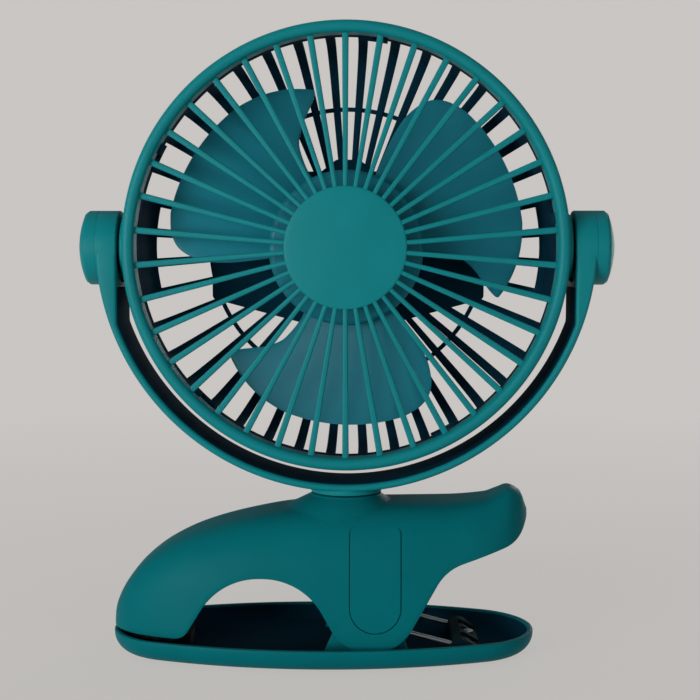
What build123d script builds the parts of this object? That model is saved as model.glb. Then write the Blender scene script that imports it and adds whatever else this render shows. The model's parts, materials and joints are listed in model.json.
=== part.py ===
from build123d import *
import os
from math import asin, atan2, cos, degrees, hypot, pi, radians, sin, sqrt, tan

# Clip fan, in millimetres. +Z is up, -Y is the front, +X is to the right seen from the front.
# The origin lies on the table, under the axis that the fork swivels about.

os.makedirs("parts", exist_ok=True)

# ---- fits ----
running_gap = 0.05          # radial, shaft in its own hole
touch_gap = 0.02            # under pieces that are fixed to each other
seat_gap = 0.15             # between pieces that are set into each other
moving_gap = 0.3            # between pieces that pass each other

# ---- tray, the lower jaw ----
tray_half_length = 69.2
tray_half_width = 31.0
tray_end_radius = 23.0      # plan radius of both ends
tray_shift = -7.6           # the tray reaches further to the left than to the right
tray_rim_z = 7.7
tray_wall = 1.8
tray_edge_round = 6.2       # the outside curves in from the rim to the floor
foot_lift = 0.5             # how far the feet stand out under the tray
foot_thick = 1.3
foot_length = 26.0
foot_width = 20.0
foot_spread = 38.0          # from the tray's middle to each foot's middle

# ---- hinge between the jaws ----
pin_x = 8.4
pin_z = 19.7
pin_radius = 1.6
lobe_radius = 14.6          # round lower end of the upper jaw's side walls
ear_radius = 5.5
ear_thick = 3.0
pin_boss_length = 2.6       # from the jaw's side wall to the ear
ear_foot_left = 16.4        # along X, from the pin to the left end of an ear's foot
ear_foot_right = 12.6

# ---- torsion spring ----
wire_radius = 0.8
coil_radius = 7.6
coil_pitch = 2.15
coil_full_turns = 4
bridge_half_gap = 2.9       # from the middle to the inner end of each coil
bridge_reach = 13.0         # how far the bridge between the coils reaches along the lever
leg_end_x = 40.0
leg_end_z = 3.7

# ---- spring anchor ----
anchor_left = 34.0
anchor_length = 9.5
anchor_height = 5.0
anchor_margin = 2.2         # beyond the spring's legs at both ends
anchor_corner = 3.0
anchor_wall = 3.5
anchor_base = 1.6
anchor_cheek = 4.2          # width of the block that holds each leg
anchor_middle_half = 5.0

# ---- upper jaw ----
nose_x = -76.6
lever_x = 59.3
jaw_half_width = 24.6
jaw_wall = 2.4
jaw_floor_thick = 2.0
nose_plan_power = 2.6       # how square the jaw's left half is, seen from above
lever_plan_power = 3.8      # the same for its right half
jaw_plan_root = 2.2
jaw_cross_power = 4.0       # how square it is, seen from its end
jaw_open_z = 2.0            # the form runs down to here before its underside is cut
nose_bottom_z = 8.4
nose_length = 25.0
arch_top_z = 28.6
arch_left_run = 12.4        # along X, from the nose's inner corner to the arch's left corner
arch_right_run = 21.6       # along X, from the arch's right corner to the pin
lever_root_x = 31.9
lever_root_z = 31.4
lever_corner_z = 38.5
lever_corner_run = 4.1      # along X, from the lever's end to its underside's last corner
lever_end_lean = 2.0        # the line up from that corner ends this far beyond the lever's end
lever_end_rise = 12.8       # and this far above the corner
floor_flank_run = 2.6       # along X, from the lever's root to where the floor turns up
floor_recess = 1.0          # the floor lies this far inside the lever's side walls
nose_corner_round = 5.0
arch_left_round = 22.0      # the arch is a dome: its two corners nearly meet
arch_right_round = 21.0
lever_root_round = 14.0
lever_corner_round = 10.0
floor_corner_round = 4.0

# Stations of the jaw's top line: share of the way from nose to lever end, height
jaw_top_line = (
    (0.003, 13.6), (0.012, 17.6), (0.035, 23.6), (0.075, 30.2), (0.135, 36.4),
    (0.215, 41.5), (0.315, 45.4), (0.43, 48.3), (0.56, 49.9), (0.69, 50.2),
    (0.81, 50.6), (0.90, 51.9), (0.93, 53.5), (0.955, 54.8), (0.982, 53.3), (0.996, 48.6),
)

# ---- rubber pads between the jaws ----
pad_gap = 0.3
nose_pad_thick = 1.9
pad_inset = 2.4
pad_length = 19.0
pad_half_width = 15.5
tray_pad_edge = 4.6         # from the flat floor's left end to the tray's pad
tray_pad_length = 15.0
tray_pad_half_width = 8.5
groove_count = 4
groove_half = 0.5
groove_depth = 0.6

# ---- side covers over the hinge pin ----
cover_shift = 1.2           # from the pin to the cover's middle, along X
cover_half_width = 8.0
cover_top_z = 44.7
cover_thick = 1.2

# ---- swivel between upper jaw and fork ----
collar_radius = 11.0
collar_top_z = 52.4
collar_inner_z = 46.4
collar_inner_radius = 9.0
spigot_radius = 5.5
swivel_washer_thick = 0.6
swivel_clip_thick = 0.8
spigot_tail = 0.7

# ---- front grille ----
ring_radius = 71.0
ring_band = 3.9
ring_depth = 7.5
ring_round = 1.8
grille_seam = -8.0          # where the front ring meets the rear rim, along Y
disc_radius = 19.5
disc_thick = 2.4
disc_front = -16.7
disc_dome = 0.8
spoke_count = 38
spoke_width = 1.8
spoke_depth = 2.3
spoke_lean = 2.4            # the spokes' front lies this much further back at the ring
spoke_taper = 1.2           # and are this much thinner there
tab_count = 5
tab_first_angle = 4.0
tab_thick = 1.1
tab_reach = 6.4
toe_depth = 1.6
lug_depth = 1.6
tab_leg_angle = 3.0
toe_angle = 7.5
lug_angle = 4.0
tab_clear_angle = 1.0

# ---- rear grille ----
rim_inset = 0.6             # the rear rim lies this far inside the front ring
rim_band = 2.7
rim_depth = 9.0
bowl_back = 27.2
bowl_depth = 3.2
bowl_taper = 1.3
bowl_round = 14.0
rib_count = 40
rib_width = 1.8             # at the plate
rib_rim_width = 3.2         # at the rim
rib_sink = 0.25             # the ribs' edges lie this far under the rim's and side plates'
mid_ring_sink = 0.7
mid_ring_radius = 47.0
mid_ring_band = 1.4
plate_half_length = 46.6
plate_half_height = 17.5
plate_top_z = 26.0
plate_knee_x = 15.0
plate_tab_z = 30.0
plate_tab_half_top = 4.0
plate_tab_half_root = 9.0
plate_thick = 3.8
plate_proud = 0.2           # the plate stands this much behind the bowl's back
side_plate_ribs = 4         # slots closed beside each pivot, counted between ribs
side_plate_edge = 4.2       # how far the closed part reaches in from the rim

# ---- fork and pivots ----
fork_clearance = 6.5        # how much larger the fork's inside is than the front ring
fork_arc_lift = 1.5         # the middle of the fork's arc lies this far above the pivots
fork_thick = 2.4
fork_half_width = 11.9
neck_radius = 11.0
neck_height = 1.3
eye_radius = 12.0
eye_thick = 6.9
eye_gap = 2.1               # between the front ring and the eyes
boss_radius = 11.0
axle_radius = 4.0
pivot_washer_thick = 0.6
pivot_washer_radius = 9.0
cap_height = 6.6
cap_dome = 2.7
cap_wall = 1.7
cap_inside = 3.4            # depth of the hollow in a cap
keeper_radius = 6.2
keeper_thick = 0.8
pivot_screw_radius = 1.25
pivot_screw_length = 9.0
pivot_screw_head_radius = 3.0
pivot_screw_head = 1.3

# ---- motor ----
motor_radius = 12.0
motor_length = 17.6
motor_wall = 1.0
bush_radius = 3.0
bush_length = 3.0
shaft_radius = 1.0
shaft_nose = -4.4
armature_radius = 7.6
armature_length = 8.5
magnet_thick = 2.2
magnet_span = 140.0
motor_screw_radius = 1.0
motor_screw_pitch = 16.0
motor_cover_radius = 22.0
motor_cover_depth = 3.4
motor_cover_wall = 1.6
cover_screw_pitch = 34.0

# ---- rotor ----
blade_count = 3
blade_tip_radius = 58.5
blade_thick = 1.5
blade_front = -3.6
blade_sweep_depth = 15.5
blade_hub_radius = 25.0
hub_wall = 1.8
hub_front = -6.2
hub_depth = 14.0
hub_boss_radius = 4.0
hub_nut_radius = 3.6
hub_nut_height = 1.8

# Edge of one blade: angle clockwise from the top seen from the front, share of the tip radius
blade_trailing_edge = ((262.0, 0.40), (264.0, 0.76), (270.0, 0.935), (281.0, 1.0))
blade_outer_end = 322.0
blade_leading_edge = ((348.4, 0.905), (343.5, 0.79), (334.5, 0.62), (333.0, 0.48), (336.0, 0.38))

# ---- battery, circuit board, button and charging socket ----
cell_length = 50.0
cell_width = 31.0
cell_thick = 9.5
cell_left = -33.0
board_length = 24.0
board_height = 8.6
board_thick = 1.4
board_left = 19.5
board_bottom_z = 36.6
board_screw_edge = 1.6      # from the board's edges to its screws
board_inset = 4.4           # from the rear wall's inside to the board
button_x = 27.6
button_z = 41.2
button_radius = 3.6
button_travel = 0.9
button_proud = 1.0
button_flange = 0.8
button_flange_thick = 0.8
lens_x = 33.6
lens_radius = 1.0
socket_x = 39.2
socket_z = 42.6
socket_width = 9.0
socket_height = 3.3
socket_wall = 0.4
floor_screw_left = -26.0
floor_screw_right = 19.0
screw_boss_wall = 1.4
screw_boss_gap = 0.4        # between the floor screws' bosses and the battery
floor_screw_length = 6.0
screw_radius = 1.1
screw_head_radius = 2.1
screw_head = 1.2
lead_radius = 0.7
lead_drop = -6.0            # the motor's lead lies this far below the pivot axis

# ---- heights and places that follow from the sizes above ----
tray_floor_z = foot_lift + tray_wall
fork_seat_z = collar_top_z + swivel_washer_thick
fork_bottom_z = fork_seat_z + neck_height
fork_inner_radius = ring_radius + fork_clearance
pivot_z = fork_bottom_z + fork_thick + fork_inner_radius - fork_arc_lift
rim_radius = ring_radius - rim_inset
rim_back = grille_seam + rim_depth
eye_inner_face = ring_radius + eye_gap
eye_face = eye_inner_face + eye_thick
boss_face = eye_inner_face - pivot_washer_thick - 0.1
bowl_inner_back = bowl_back - bowl_depth
plate_back = bowl_back + plate_proud
plate_front = plate_back - plate_thick
motor_front = plate_front - motor_length
disc_back = disc_front + disc_thick
coil_turn = 360 * coil_full_turns
floor_screw_y = cell_width / 2 + screw_boss_gap + screw_radius + screw_boss_wall
head = Pos(0, 0, pivot_z)


# ---- plain building shapes ----
def block(x0, x1, y0, y1, z0, z1):
    return Pos((x0 + x1) / 2, (y0 + y1) / 2, (z0 + z1) / 2) * Box(x1 - x0, y1 - y0, z1 - z0)


def rod_x(radius, x0, x1, y=0.0, z=0.0):
    return Pos((x0 + x1) / 2, y, z) * Rot(0, 90, 0) * Cylinder(radius, abs(x1 - x0))


def rod_y(radius, y0, y1, x=0.0, z=0.0):
    return Pos(x, (y0 + y1) / 2, z) * Rot(90, 0, 0) * Cylinder(radius, abs(y1 - y0))


def rod_z(radius, z0, z1, x=0.0, y=0.0):
    return Pos(x, y, (z0 + z1) / 2) * Cylinder(radius, abs(z1 - z0))


def through_y(face, y0, y1):
    """A face of the XZ plane, thickened from y0 to y1."""
    return Pos(0, y1, 0) * extrude(face, amount=y1 - y0, dir=(0, -1, 0))


def around_y(face, start, sweep_angle):
    """A face of the XY plane swept about the Y axis, clockwise from the angle given."""
    return Rot(0, start - 90, 0) * revolve(face, axis=Axis.Y, revolution_arc=sweep_angle)


def at_clock(angle, shape):
    """Turns a shape made along +X to an angle counted clockwise from the top."""
    return Rot(0, angle - 90, 0) * shape


def clock_point(angle, radius):
    return (radius * sin(radians(angle)), radius * cos(radians(angle)))


def rect(x0, x1, y0, y1):
    return Pos((x0 + x1) / 2, (y0 + y1) / 2) * Rectangle(x1 - x0, y1 - y0)


def circle_edge(shape, radius, axis, place):
    """One of the round edges of a radius, counted along an axis."""
    round_edges = [e for e in shape.edges().filter_by(GeomType.CIRCLE) if abs(e.radius - radius) < 0.01]
    return ShapeList(round_edges).sort_by(axis)[place]


# ---- tray ----
def oval(inset=0.0):
    """Plan of the tray: two end arcs joined by two long side arcs."""
    half_length = tray_half_length - inset
    half_width = tray_half_width - inset
    end = tray_end_radius - inset
    run = half_length - end
    side = (run ** 2 + half_width ** 2 - end ** 2) / (2 * (half_width - end))
    drop = side - half_width
    reach = side / (side - end)
    corner = Vector(run * reach, drop * (reach - 1))
    top = [Vector(corner.X * s, corner.Y) for s in (-1, 1)]
    low = [Vector(corner.X * s, -corner.Y) for s in (-1, 1)]
    edges = [
        ThreePointArc(top[0], (0, half_width), top[1]),
        ThreePointArc(top[1], (half_length, 0), low[1]),
        ThreePointArc(low[1], (0, -half_width), low[0]),
        ThreePointArc(low[0], (-half_length, 0), top[0]),
    ]
    return Pos(tray_shift, 0) * make_face(Curve() + edges)


def dish(inset, bottom_z, top_z, edge_round):
    body = Pos(0, 0, bottom_z) * extrude(oval(inset), amount=top_z - bottom_z)
    return fillet(body.faces().sort_by(Axis.Z)[0].edges(), edge_round)


def ear_profile():
    foot = tray_floor_z - tray_wall / 2
    outline = Polyline((pin_x - ear_foot_left, foot), (pin_x + ear_foot_right, foot),
                       (pin_x + ear_radius, pin_z), (pin_x - ear_radius, pin_z), close=True)
    round_top = Pos(pin_x, pin_z) * Circle(ear_radius)
    return Plane.XZ * (make_face(outline) + round_top)


def ear_outer_y():
    return jaw_half_width - jaw_wall - pin_boss_length


def foot_places():
    return [tray_shift - foot_spread, tray_shift + foot_spread]


def foot_plan(grow=0.0):
    return RectangleRounded(foot_length + 2 * grow, foot_width + 2 * grow, 4.0 + grow)


def base_tray():
    tray = dish(0, foot_lift, tray_rim_z, tray_edge_round)
    tray -= dish(tray_wall, tray_floor_z, tray_rim_z + 1, tray_edge_round - tray_wall)
    outer = ear_outer_y()
    for low, high in ((-outer, ear_thick - outer), (outer - ear_thick, outer)):
        tray += through_y(ear_profile(), low, high)
    tray -= rod_y(pin_radius + running_gap / 5, -outer - 1, outer + 1, pin_x, pin_z)
    pocket_top = foot_thick + seat_gap / 3
    for x in foot_places():
        tray -= Pos(x, 0, 0) * extrude(foot_plan(seat_gap), amount=pocket_top)
    tray -= rod_z(screw_radius, tray_floor_z - 1, 9, anchor_screw_x(), 0)
    return tray


def foot_pads():
    return Compound([Pos(x, 0, 0) * extrude(foot_plan(), amount=foot_thick) for x in foot_places()])


def tray_grip_pad():
    left = tray_shift - tray_half_length + tray_edge_round + tray_pad_edge
    top = nose_bottom_z - nose_pad_thick - pad_gap
    half = tray_pad_half_width
    pad = block(left, left + tray_pad_length, -half, half, tray_floor_z + touch_gap, top)
    pad = fillet(pad.edges().filter_by(Axis.Z), 4.0)
    for k in range(groove_count):
        x = left + tray_pad_length * (k + 1) / (groove_count + 1)
        pad -= block(x - groove_half, x + groove_half, -half, half, top - groove_depth, top + 1)
    return pad


def hinge_pin():
    reach = jaw_half_width - cover_thick - 1.0
    pin = rod_y(pin_radius, -reach, reach, pin_x, pin_z)
    return chamfer(pin.edges().filter_by(GeomType.CIRCLE), 0.3)


# ---- torsion spring ----
def helix_point(start_angle, turned, y0):
    angle = radians(start_angle - turned)
    return Vector(pin_x + coil_radius * cos(angle), y0 + coil_pitch * turned / 360,
                  pin_z + coil_radius * sin(angle))


def helix_direction(start_angle, turned):
    angle = radians(start_angle - turned)
    rise = coil_pitch / (2 * pi * coil_radius)
    return Vector(sin(angle), rise, -cos(angle)).normalized()


def two_arcs(start, start_way, end, end_way):
    """Two arcs that meet smoothly and join two points in the directions given."""
    across = end - start
    both = start_way + end_way
    square = 4 - both.dot(both)
    half = across.dot(both)
    reach = (-half + sqrt(half ** 2 + square * across.dot(across))) / square
    first = start + start_way * reach
    last = end - end_way * reach
    middle = (first + last) * 0.5
    way = (last - first).normalized()
    return [TangentArc(start, middle, tangent=start_way), TangentArc(middle, end, tangent=way)]


def leg_start_angle():
    """Where a leg leaves its coil, counted the usual way round seen from the front."""
    dx = leg_end_x - pin_x
    dz = leg_end_z - pin_z
    return degrees(atan2(dz, dx) - pi / 2 + asin(coil_radius / hypot(dx, dz)))


def coil_outer_y():
    start = leg_start_angle()
    return -bridge_half_gap - coil_pitch * coil_sweep(start) / 360


def coil_sweep(start):
    return start + 270 + coil_turn


def spring_half():
    """One leg, one coil and half the bridge, as edges end to end."""
    start = leg_start_angle()
    y0 = coil_outer_y()
    sweep_angle = coil_sweep(start)
    steps = round(sweep_angle / 90)
    leave = helix_point(start, 0, y0)
    leg_way = (leave - Vector(leg_end_x, y0, leg_end_z)).normalized()
    edges = [Line((leg_end_x, y0, leg_end_z), leave)]
    places = [helix_point(start, sweep_angle * k / steps, y0) for k in range(steps + 1)]
    ways = [helix_direction(start, sweep_angle * k / steps) for k in range(steps + 1)]
    ways[0] = leg_way
    ways[-1] = Vector(1, 0, 0)
    for k in range(steps):
        edges += two_arcs(places[k], ways[k], places[k + 1], ways[k + 1])
    bend_start = places[-1] + Vector(bridge_reach - bridge_half_gap, 0, 0)
    bridge_end = Vector(places[-1].X + bridge_reach, 0, places[-1].Z)
    edges.append(Line(places[-1], bend_start))
    edges.append(TangentArc(bend_start, bridge_end, tangent=(1, 0, 0)))
    return edges


def torsion_spring():
    path = Wire(Curve().edges() + [edge for edge in spring_half()])
    profile = Plane(origin=path @ 0, z_dir=path % 0) * Circle(wire_radius)
    half = sweep(profile, path=path)
    spring = half + mirror(half, about=Plane.XZ)
    print("spring: least gap between turns", round(coil_pitch - 2 * wire_radius, 2))
    print("spring: volume", round(spring.volume, 1),
          "section times length", round(2 * path.length * pi * wire_radius ** 2, 1))
    return spring


def anchor_screw_x():
    return anchor_left + anchor_length / 2 + 1.2


def spring_anchor():
    half = -coil_outer_y() + anchor_margin
    low = tray_floor_z + touch_gap
    right = anchor_left + anchor_length
    profile = Polyline((anchor_left, low), (right, low), (right, low + anchor_height * 0.35),
                       (anchor_left + anchor_length * 0.45, low + anchor_height),
                       (anchor_left, low + anchor_height * 0.8), close=True)
    body = through_y(Plane.XZ * make_face(profile), -half, half)
    body = chamfer(body.edges().filter_by(Axis.Y).sort_by(Axis.Z)[-2:], 0.8)
    body = fillet(body.edges().filter_by(Axis.Z).sort_by(Axis.X)[-2:], anchor_corner)
    for s in (-1, 1):
        y0, y1 = sorted((s * anchor_middle_half, s * (half - anchor_cheek)))
        body -= block(anchor_left + anchor_wall, right + 1, y0, y1, low + anchor_base,
                      low + anchor_height + 1)
    slope = (leg_end_z - leg_touch().Z) / (leg_end_x - leg_touch().X)
    for s in (-1, 1):
        path = Line(leg_touch(s), (leg_end_x + 0.6, s * coil_outer_y(), leg_end_z + 0.6 * slope))
        profile = Plane(origin=path @ 0, z_dir=path % 0) * Circle(wire_radius + seat_gap)
        body -= sweep(profile, path=path)
    x = anchor_screw_x()
    body -= rod_z(screw_radius + 0.1, low - 1, low + anchor_height, x, 0)
    body -= rod_z(screw_head_radius + 0.2, low + 2.6, low + anchor_height + 1, x, 0)
    return body


def leg_touch(s=1):
    place = helix_point(leg_start_angle(), 0, coil_outer_y())
    return Vector(place.X, s * place.Y, place.Z)


def screw_down(x, y, head_z, length):
    """A cross-recessed screw whose head's underside lies at head_z, pointing down."""
    body = rod_z(screw_radius - 0.05, head_z - length, head_z, x, y)
    body += rod_z(screw_head_radius, head_z, head_z + screw_head, x, y)
    for turn in (0, 90):
        slot = Box(2.6, 0.6, 1.2)
        body -= Pos(x, y, head_z + screw_head) * Rot(0, 0, turn) * slot
    return body


def anchor_screw():
    return screw_down(anchor_screw_x(), 0, tray_floor_z + 2.62, 3.4)


# ---- upper jaw form ----
def plan_share(x):
    middle = (nose_x + lever_x) / 2
    t = abs(x - middle) / ((lever_x - nose_x) / 2)
    power = nose_plan_power if x < middle else lever_plan_power
    return (1 - t ** power) ** (1 / jaw_plan_root)


def jaw_section(share, top, inset):
    """One cross-section of the jaw, open below, at a share of the way to the lever's end."""
    x_true = nose_x + share * (lever_x - nose_x)
    x = (nose_x + inset) + share * (lever_x - nose_x - 2 * inset)
    half = (jaw_half_width - inset) * plan_share(x_true)
    height = top - inset - jaw_open_z
    points = []
    for k in range(13):
        angle = pi * k / 12
        side = -1 if k < 6 else 1
        y = side * half * abs(cos(angle)) ** (2 / jaw_cross_power)
        points.append((x, y, jaw_open_z + height * sin(angle) ** (2 / jaw_cross_power)))
    points[0] = (x, -half, jaw_open_z)
    points[-1] = (x, half, jaw_open_z)
    crown = Spline(*points, tangents=((0, 0, 1), (0, 0, -1)))
    return make_face(Curve() + [crown, Line(points[-1], points[0])])


def jaw_form(inset):
    sections = [jaw_section(share, top, inset) for share, top in jaw_top_line]
    return loft(sections)


def lobe_tip():
    """Where the two lines that touch the lobe on its left and right would meet below it."""
    left = (pin_x - arch_right_run, arch_top_z)
    right = (lever_root_x, lever_root_z)
    lines = []
    for place, turn in ((left, -1), (right, 1)):
        dx, dz = pin_x - place[0], pin_z - place[1]
        away = atan2(dz, dx) + turn * asin(lobe_radius / hypot(dx, dz))
        lines.append((place, (cos(away), sin(away))))
    (ax, az), (ux, uz) = lines[0]
    (bx, bz), (vx, vz) = lines[1]
    reach = ((bx - ax) * vz - (bz - az) * vx) / (ux * vz - uz * vx)
    return (ax + reach * ux, az + reach * uz)


def under_corners(with_lobe):
    """Corners of the jaw's underside from the nose to the lever, with their radii."""
    inner = nose_x + nose_length
    corners = [((nose_x - 20, nose_bottom_z), 0), ((inner, nose_bottom_z), nose_corner_round),
               ((inner + arch_left_run, arch_top_z), arch_left_round)]
    if with_lobe:
        corners += [((pin_x - arch_right_run, arch_top_z), arch_right_round),
                    (lobe_tip(), lobe_radius), ((lever_root_x, lever_root_z), lever_root_round)]
    else:
        corners += [((lever_root_x - floor_flank_run, arch_top_z), floor_corner_round),
                    ((lever_root_x, lever_root_z + floor_recess), floor_corner_round)]
    low = lever_corner_z if with_lobe else lever_corner_z + floor_recess
    corners += [((lever_x - lever_corner_run, low), lever_corner_round),
                ((lever_x + lever_end_lean, low + lever_end_rise), 0)]
    return corners


def under_face(with_lobe):
    """The face below the jaw's underside."""
    corners = under_corners(with_lobe)
    points = [place for place, _ in corners]
    radii = [radius for _, radius in corners[1:-1]]
    line = FilletPolyline(*points, radius=radii)
    first, last = points[0], points[-1]
    rest = Polyline(last, (last[0] + 30, last[1]), (last[0] + 30, -40), (first[0], -40), first)
    return make_face(Curve() + [line, rest])


def across_jaw(sketch):
    return through_y(Plane.XZ * sketch, -jaw_half_width - 10, jaw_half_width + 10)


def cover_sketch(grow=0.0):
    half = cover_half_width + grow
    x = pin_x + cover_shift
    top = cover_top_z + grow
    strip = rect(x - half, x + half, pin_z, top)
    strip = fillet(strip.vertices().sort_by(Axis.Y)[-2:], 2.0)
    return strip + Pos(x, pin_z) * Circle(half)


def rear_wall_y(x, z):
    """Outside of the jaw's rear wall at a place on it."""
    share = (x - nose_x) / (lever_x - nose_x)
    tops = jaw_top_line
    pairs = [(a, b) for a, b in zip(tops, tops[1:]) if a[0] <= share <= b[0]]
    (s0, t0), (s1, t1) = pairs[0]
    top = t0 + (t1 - t0) * (share - s0) / (s1 - s0)
    up = (z - jaw_open_z) / (top - jaw_open_z)
    return jaw_half_width * plan_share(x) * (1 - up ** jaw_cross_power) ** (1 / jaw_cross_power)


def board_y():
    reach = rear_wall_y(board_left + board_length, board_bottom_z + board_height)
    return reach - jaw_wall - board_inset


def pin_boss_inner_y():
    return ear_outer_y() + moving_gap


def jaw_shell():
    outer = jaw_form(0)
    inner = jaw_form(jaw_wall)
    shell = outer - inner
    collar = rod_z(collar_radius, collar_inner_z, collar_top_z) - inner
    shell += collar
    shell += rod_z(collar_inner_radius, collar_inner_z, collar_top_z - 1)
    boss = pin_boss_inner_y()
    for s in (-1, 1):
        y0, y1 = sorted((s * boss, s * (jaw_half_width - cover_thick - 0.6)))
        shell += rod_y(ear_radius, y0, y1, pin_x, pin_z)
    shell -= across_jaw(under_face(True))
    recess = across_jaw(cover_sketch(seat_gap)) - jaw_form(cover_thick + seat_gap / 3)
    shell -= recess
    shell -= rod_y(pin_radius + running_gap, -jaw_half_width, jaw_half_width, pin_x, pin_z)
    shell -= rod_z(spigot_radius + running_gap, 40, 60)
    y = jaw_half_width
    behind = board_y()
    shell -= rod_y(button_radius + moving_gap, behind, y + 2, button_x, button_z)
    shell -= rod_y(lens_radius + seat_gap / 3, behind, y + 2, lens_x, button_z)
    shell -= block(socket_x - socket_width / 2 - seat_gap, socket_x + socket_width / 2 + seat_gap,
                   board_y() + board_thick + 0.1, y + 2, socket_z - socket_height / 2 - seat_gap,
                   socket_z + socket_height / 2 + seat_gap)
    core = jaw_form(jaw_wall / 2)
    for x, y in floor_screw_places():
        shell += rod_z(screw_radius + screw_boss_wall, floor_top_z() + 0.1, collar_top_z, x, y) & core
        shell -= rod_z(screw_radius, floor_top_z() - 1, floor_top_z() + floor_screw_length, x, y)
    return shell + board_posts()


def floor_top_z():
    return arch_top_z + jaw_floor_thick


def floor_screw_places():
    return [(x, y) for x in (floor_screw_left, floor_screw_right)
            for y in (-floor_screw_y, floor_screw_y)]


def board_posts():
    """Two posts that carry the circuit board on the rear wall."""
    posts = Part()
    y0 = board_y() + board_thick
    for x, z in board_screw_places():
        post = rod_y(screw_radius + 1.0, y0, rear_wall_y(x, z) - jaw_wall / 2, x, z)
        posts += post - rod_y(screw_radius, y0 - 1, y0 + 2.6, x, z)
    return posts


def board_screw_places():
    z = board_bottom_z + board_screw_edge
    return [(board_left + board_screw_edge, z), (socket_x - socket_width / 2 + 1.4, z)]


def jaw_floor():
    face = under_face(False)
    band = offset(face, amount=jaw_floor_thick) - face
    floor = across_jaw(band) & jaw_form(jaw_wall + seat_gap)
    floor -= block(lever_x - 9, lever_x + 20, -40, 40, 0, 80)
    for x, y in floor_screw_places():
        floor -= rod_z(screw_radius + 0.2, arch_top_z - 1, floor_top_z() + 1, x, y)
        floor -= rod_z(screw_head_radius + 0.2, arch_top_z - 1, arch_top_z + screw_head, x, y)
    return floor.solids().sort_by(SortBy.VOLUME)[-1]


def floor_screws():
    screws = []
    for x, y in floor_screw_places():
        up = Pos(x, y, 0) * Rot(180, 0, 0) * Pos(-x, -y, 0)
        screw = up * screw_down(x, y, -arch_top_z - screw_head, floor_screw_length)
        screws.append(screw)
    return Compound(screws)


def nose_grip_pad():
    left = nose_x + pad_inset
    low = nose_bottom_z - nose_pad_thick
    high = nose_bottom_z - touch_gap
    pad = block(left, left + pad_length, -pad_half_width, pad_half_width, low, high)
    pad = pad & jaw_form(pad_inset)
    for k in range(groove_count):
        x = left + pad_length * (k + 1) / (groove_count + 1)
        pad -= block(x - groove_half, x + groove_half, -40, 40, low - 1, low + groove_depth)
    return pad


def side_cover(front):
    skin = jaw_form(0) - jaw_form(cover_thick)
    cover = across_jaw(cover_sketch()) & skin
    keep = cover.solids().sort_by(Axis.Y)
    return keep[0] if front else keep[-1]


# ---- what the upper jaw holds ----
def battery_cell():
    low = floor_top_z() + 0.05
    cell = block(cell_left, cell_left + cell_length, -cell_width / 2, cell_width / 2,
                 low, low + cell_thick)
    return fillet(cell.edges().filter_by(Axis.X), 2.4)


def lever_floor_top(x):
    """Top of the jaw's floor where it follows the lever."""
    rise = lever_corner_z - lever_root_z
    run = lever_x - lever_corner_run - lever_root_x
    low = lever_root_z + floor_recess + (x - lever_root_x) * rise / run
    return low + jaw_floor_thick / cos(atan2(rise, run))


def circuit_board():
    y = board_y()
    board = block(board_left, board_left + board_length, y, y + board_thick,
                  board_bottom_z, board_bottom_z + board_height)
    right = board_left + board_length + 1
    under = [(lever_root_x, board_bottom_z - 4), (right, board_bottom_z - 4),
             (right, lever_floor_top(right) + moving_gap),
             (lever_root_x, lever_floor_top(lever_root_x) + moving_gap)]
    under = make_face(Polyline(*under, close=True))
    board -= through_y(Plane.XZ * under, y - 1, y + board_thick + 1)
    for x, z in board_screw_places():
        board -= rod_y(screw_radius + 0.1, y - 1, y + board_thick + 1, x, z)
    high = board_bottom_z + board_height - 0.6
    chip = block(board_left + 5, board_left + 10, y - 1.2, y, high - 4, high)
    inductor = block(board_left + 15, board_left + 19, y - 2.2, y, high - 4, high)
    switch_face = y + board_thick
    tact = block(button_x - 2.4, button_x + 2.4, switch_face, switch_face + 0.9,
                 button_z - 2.2, button_z + 2.2)
    return board + [chip, inductor, tact]


def board_screws():
    screws = []
    for x, z in board_screw_places():
        y = board_y()
        screw = rod_y(screw_radius - 0.05, y, y + board_thick + 2.2, x, z)
        screw += rod_y(screw_head_radius - 0.5, y - screw_head, y - touch_gap, x, z)
        screws.append(screw - block(x - 1.3, x + 1.3, y - 2, y - screw_head + 0.6, z - 0.3, z + 0.3))
    return Compound(screws)


def button_face_y():
    return rear_wall_y(button_x, button_z) + button_proud


def power_button():
    face = button_face_y()
    reach = button_radius + button_flange
    flange_face = rear_wall_y(button_x + reach, button_z + reach) - jaw_wall * 1.5 - 0.3
    body = rod_y(button_radius, flange_face - button_flange_thick, face, button_x, button_z)
    body = fillet(body.faces().sort_by(Axis.Y)[-1].edges(), 0.6)
    flange = rod_y(reach, flange_face - button_flange_thick, flange_face, button_x, button_z)
    tact_face = board_y() + board_thick + 0.9
    stem = rod_y(1.2, tact_face + button_travel + 0.1, flange_face, button_x, button_z)
    return body + [flange, stem]


def indicator_lens():
    y = rear_wall_y(lens_x, button_z)
    board_face = board_y() + board_thick + 0.1
    return rod_y(lens_radius, board_face, y + 0.1, lens_x, button_z)


def usb_socket():
    back = board_y() + board_thick
    front = rear_wall_y(socket_x + socket_width / 2, socket_z + socket_height / 2) - 0.3
    half, tall = socket_width / 2, socket_height / 2
    z = socket_z
    body = block(socket_x - half, socket_x + half, back, front, z - tall, z + tall)
    body = fillet(body.edges().filter_by(Axis.Y), 1.2)
    hole = block(socket_x - half + socket_wall, socket_x + half - socket_wall, back + 1, front + 1,
                 z - tall + socket_wall, z + tall - socket_wall)
    tongue = block(socket_x - half + 1.2, socket_x + half - 1.2, back + 0.5, front - 0.6,
                   z - 0.35, z + 0.35)
    return body - fillet(hole.edges().filter_by(Axis.Y), 0.9) + tongue


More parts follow.
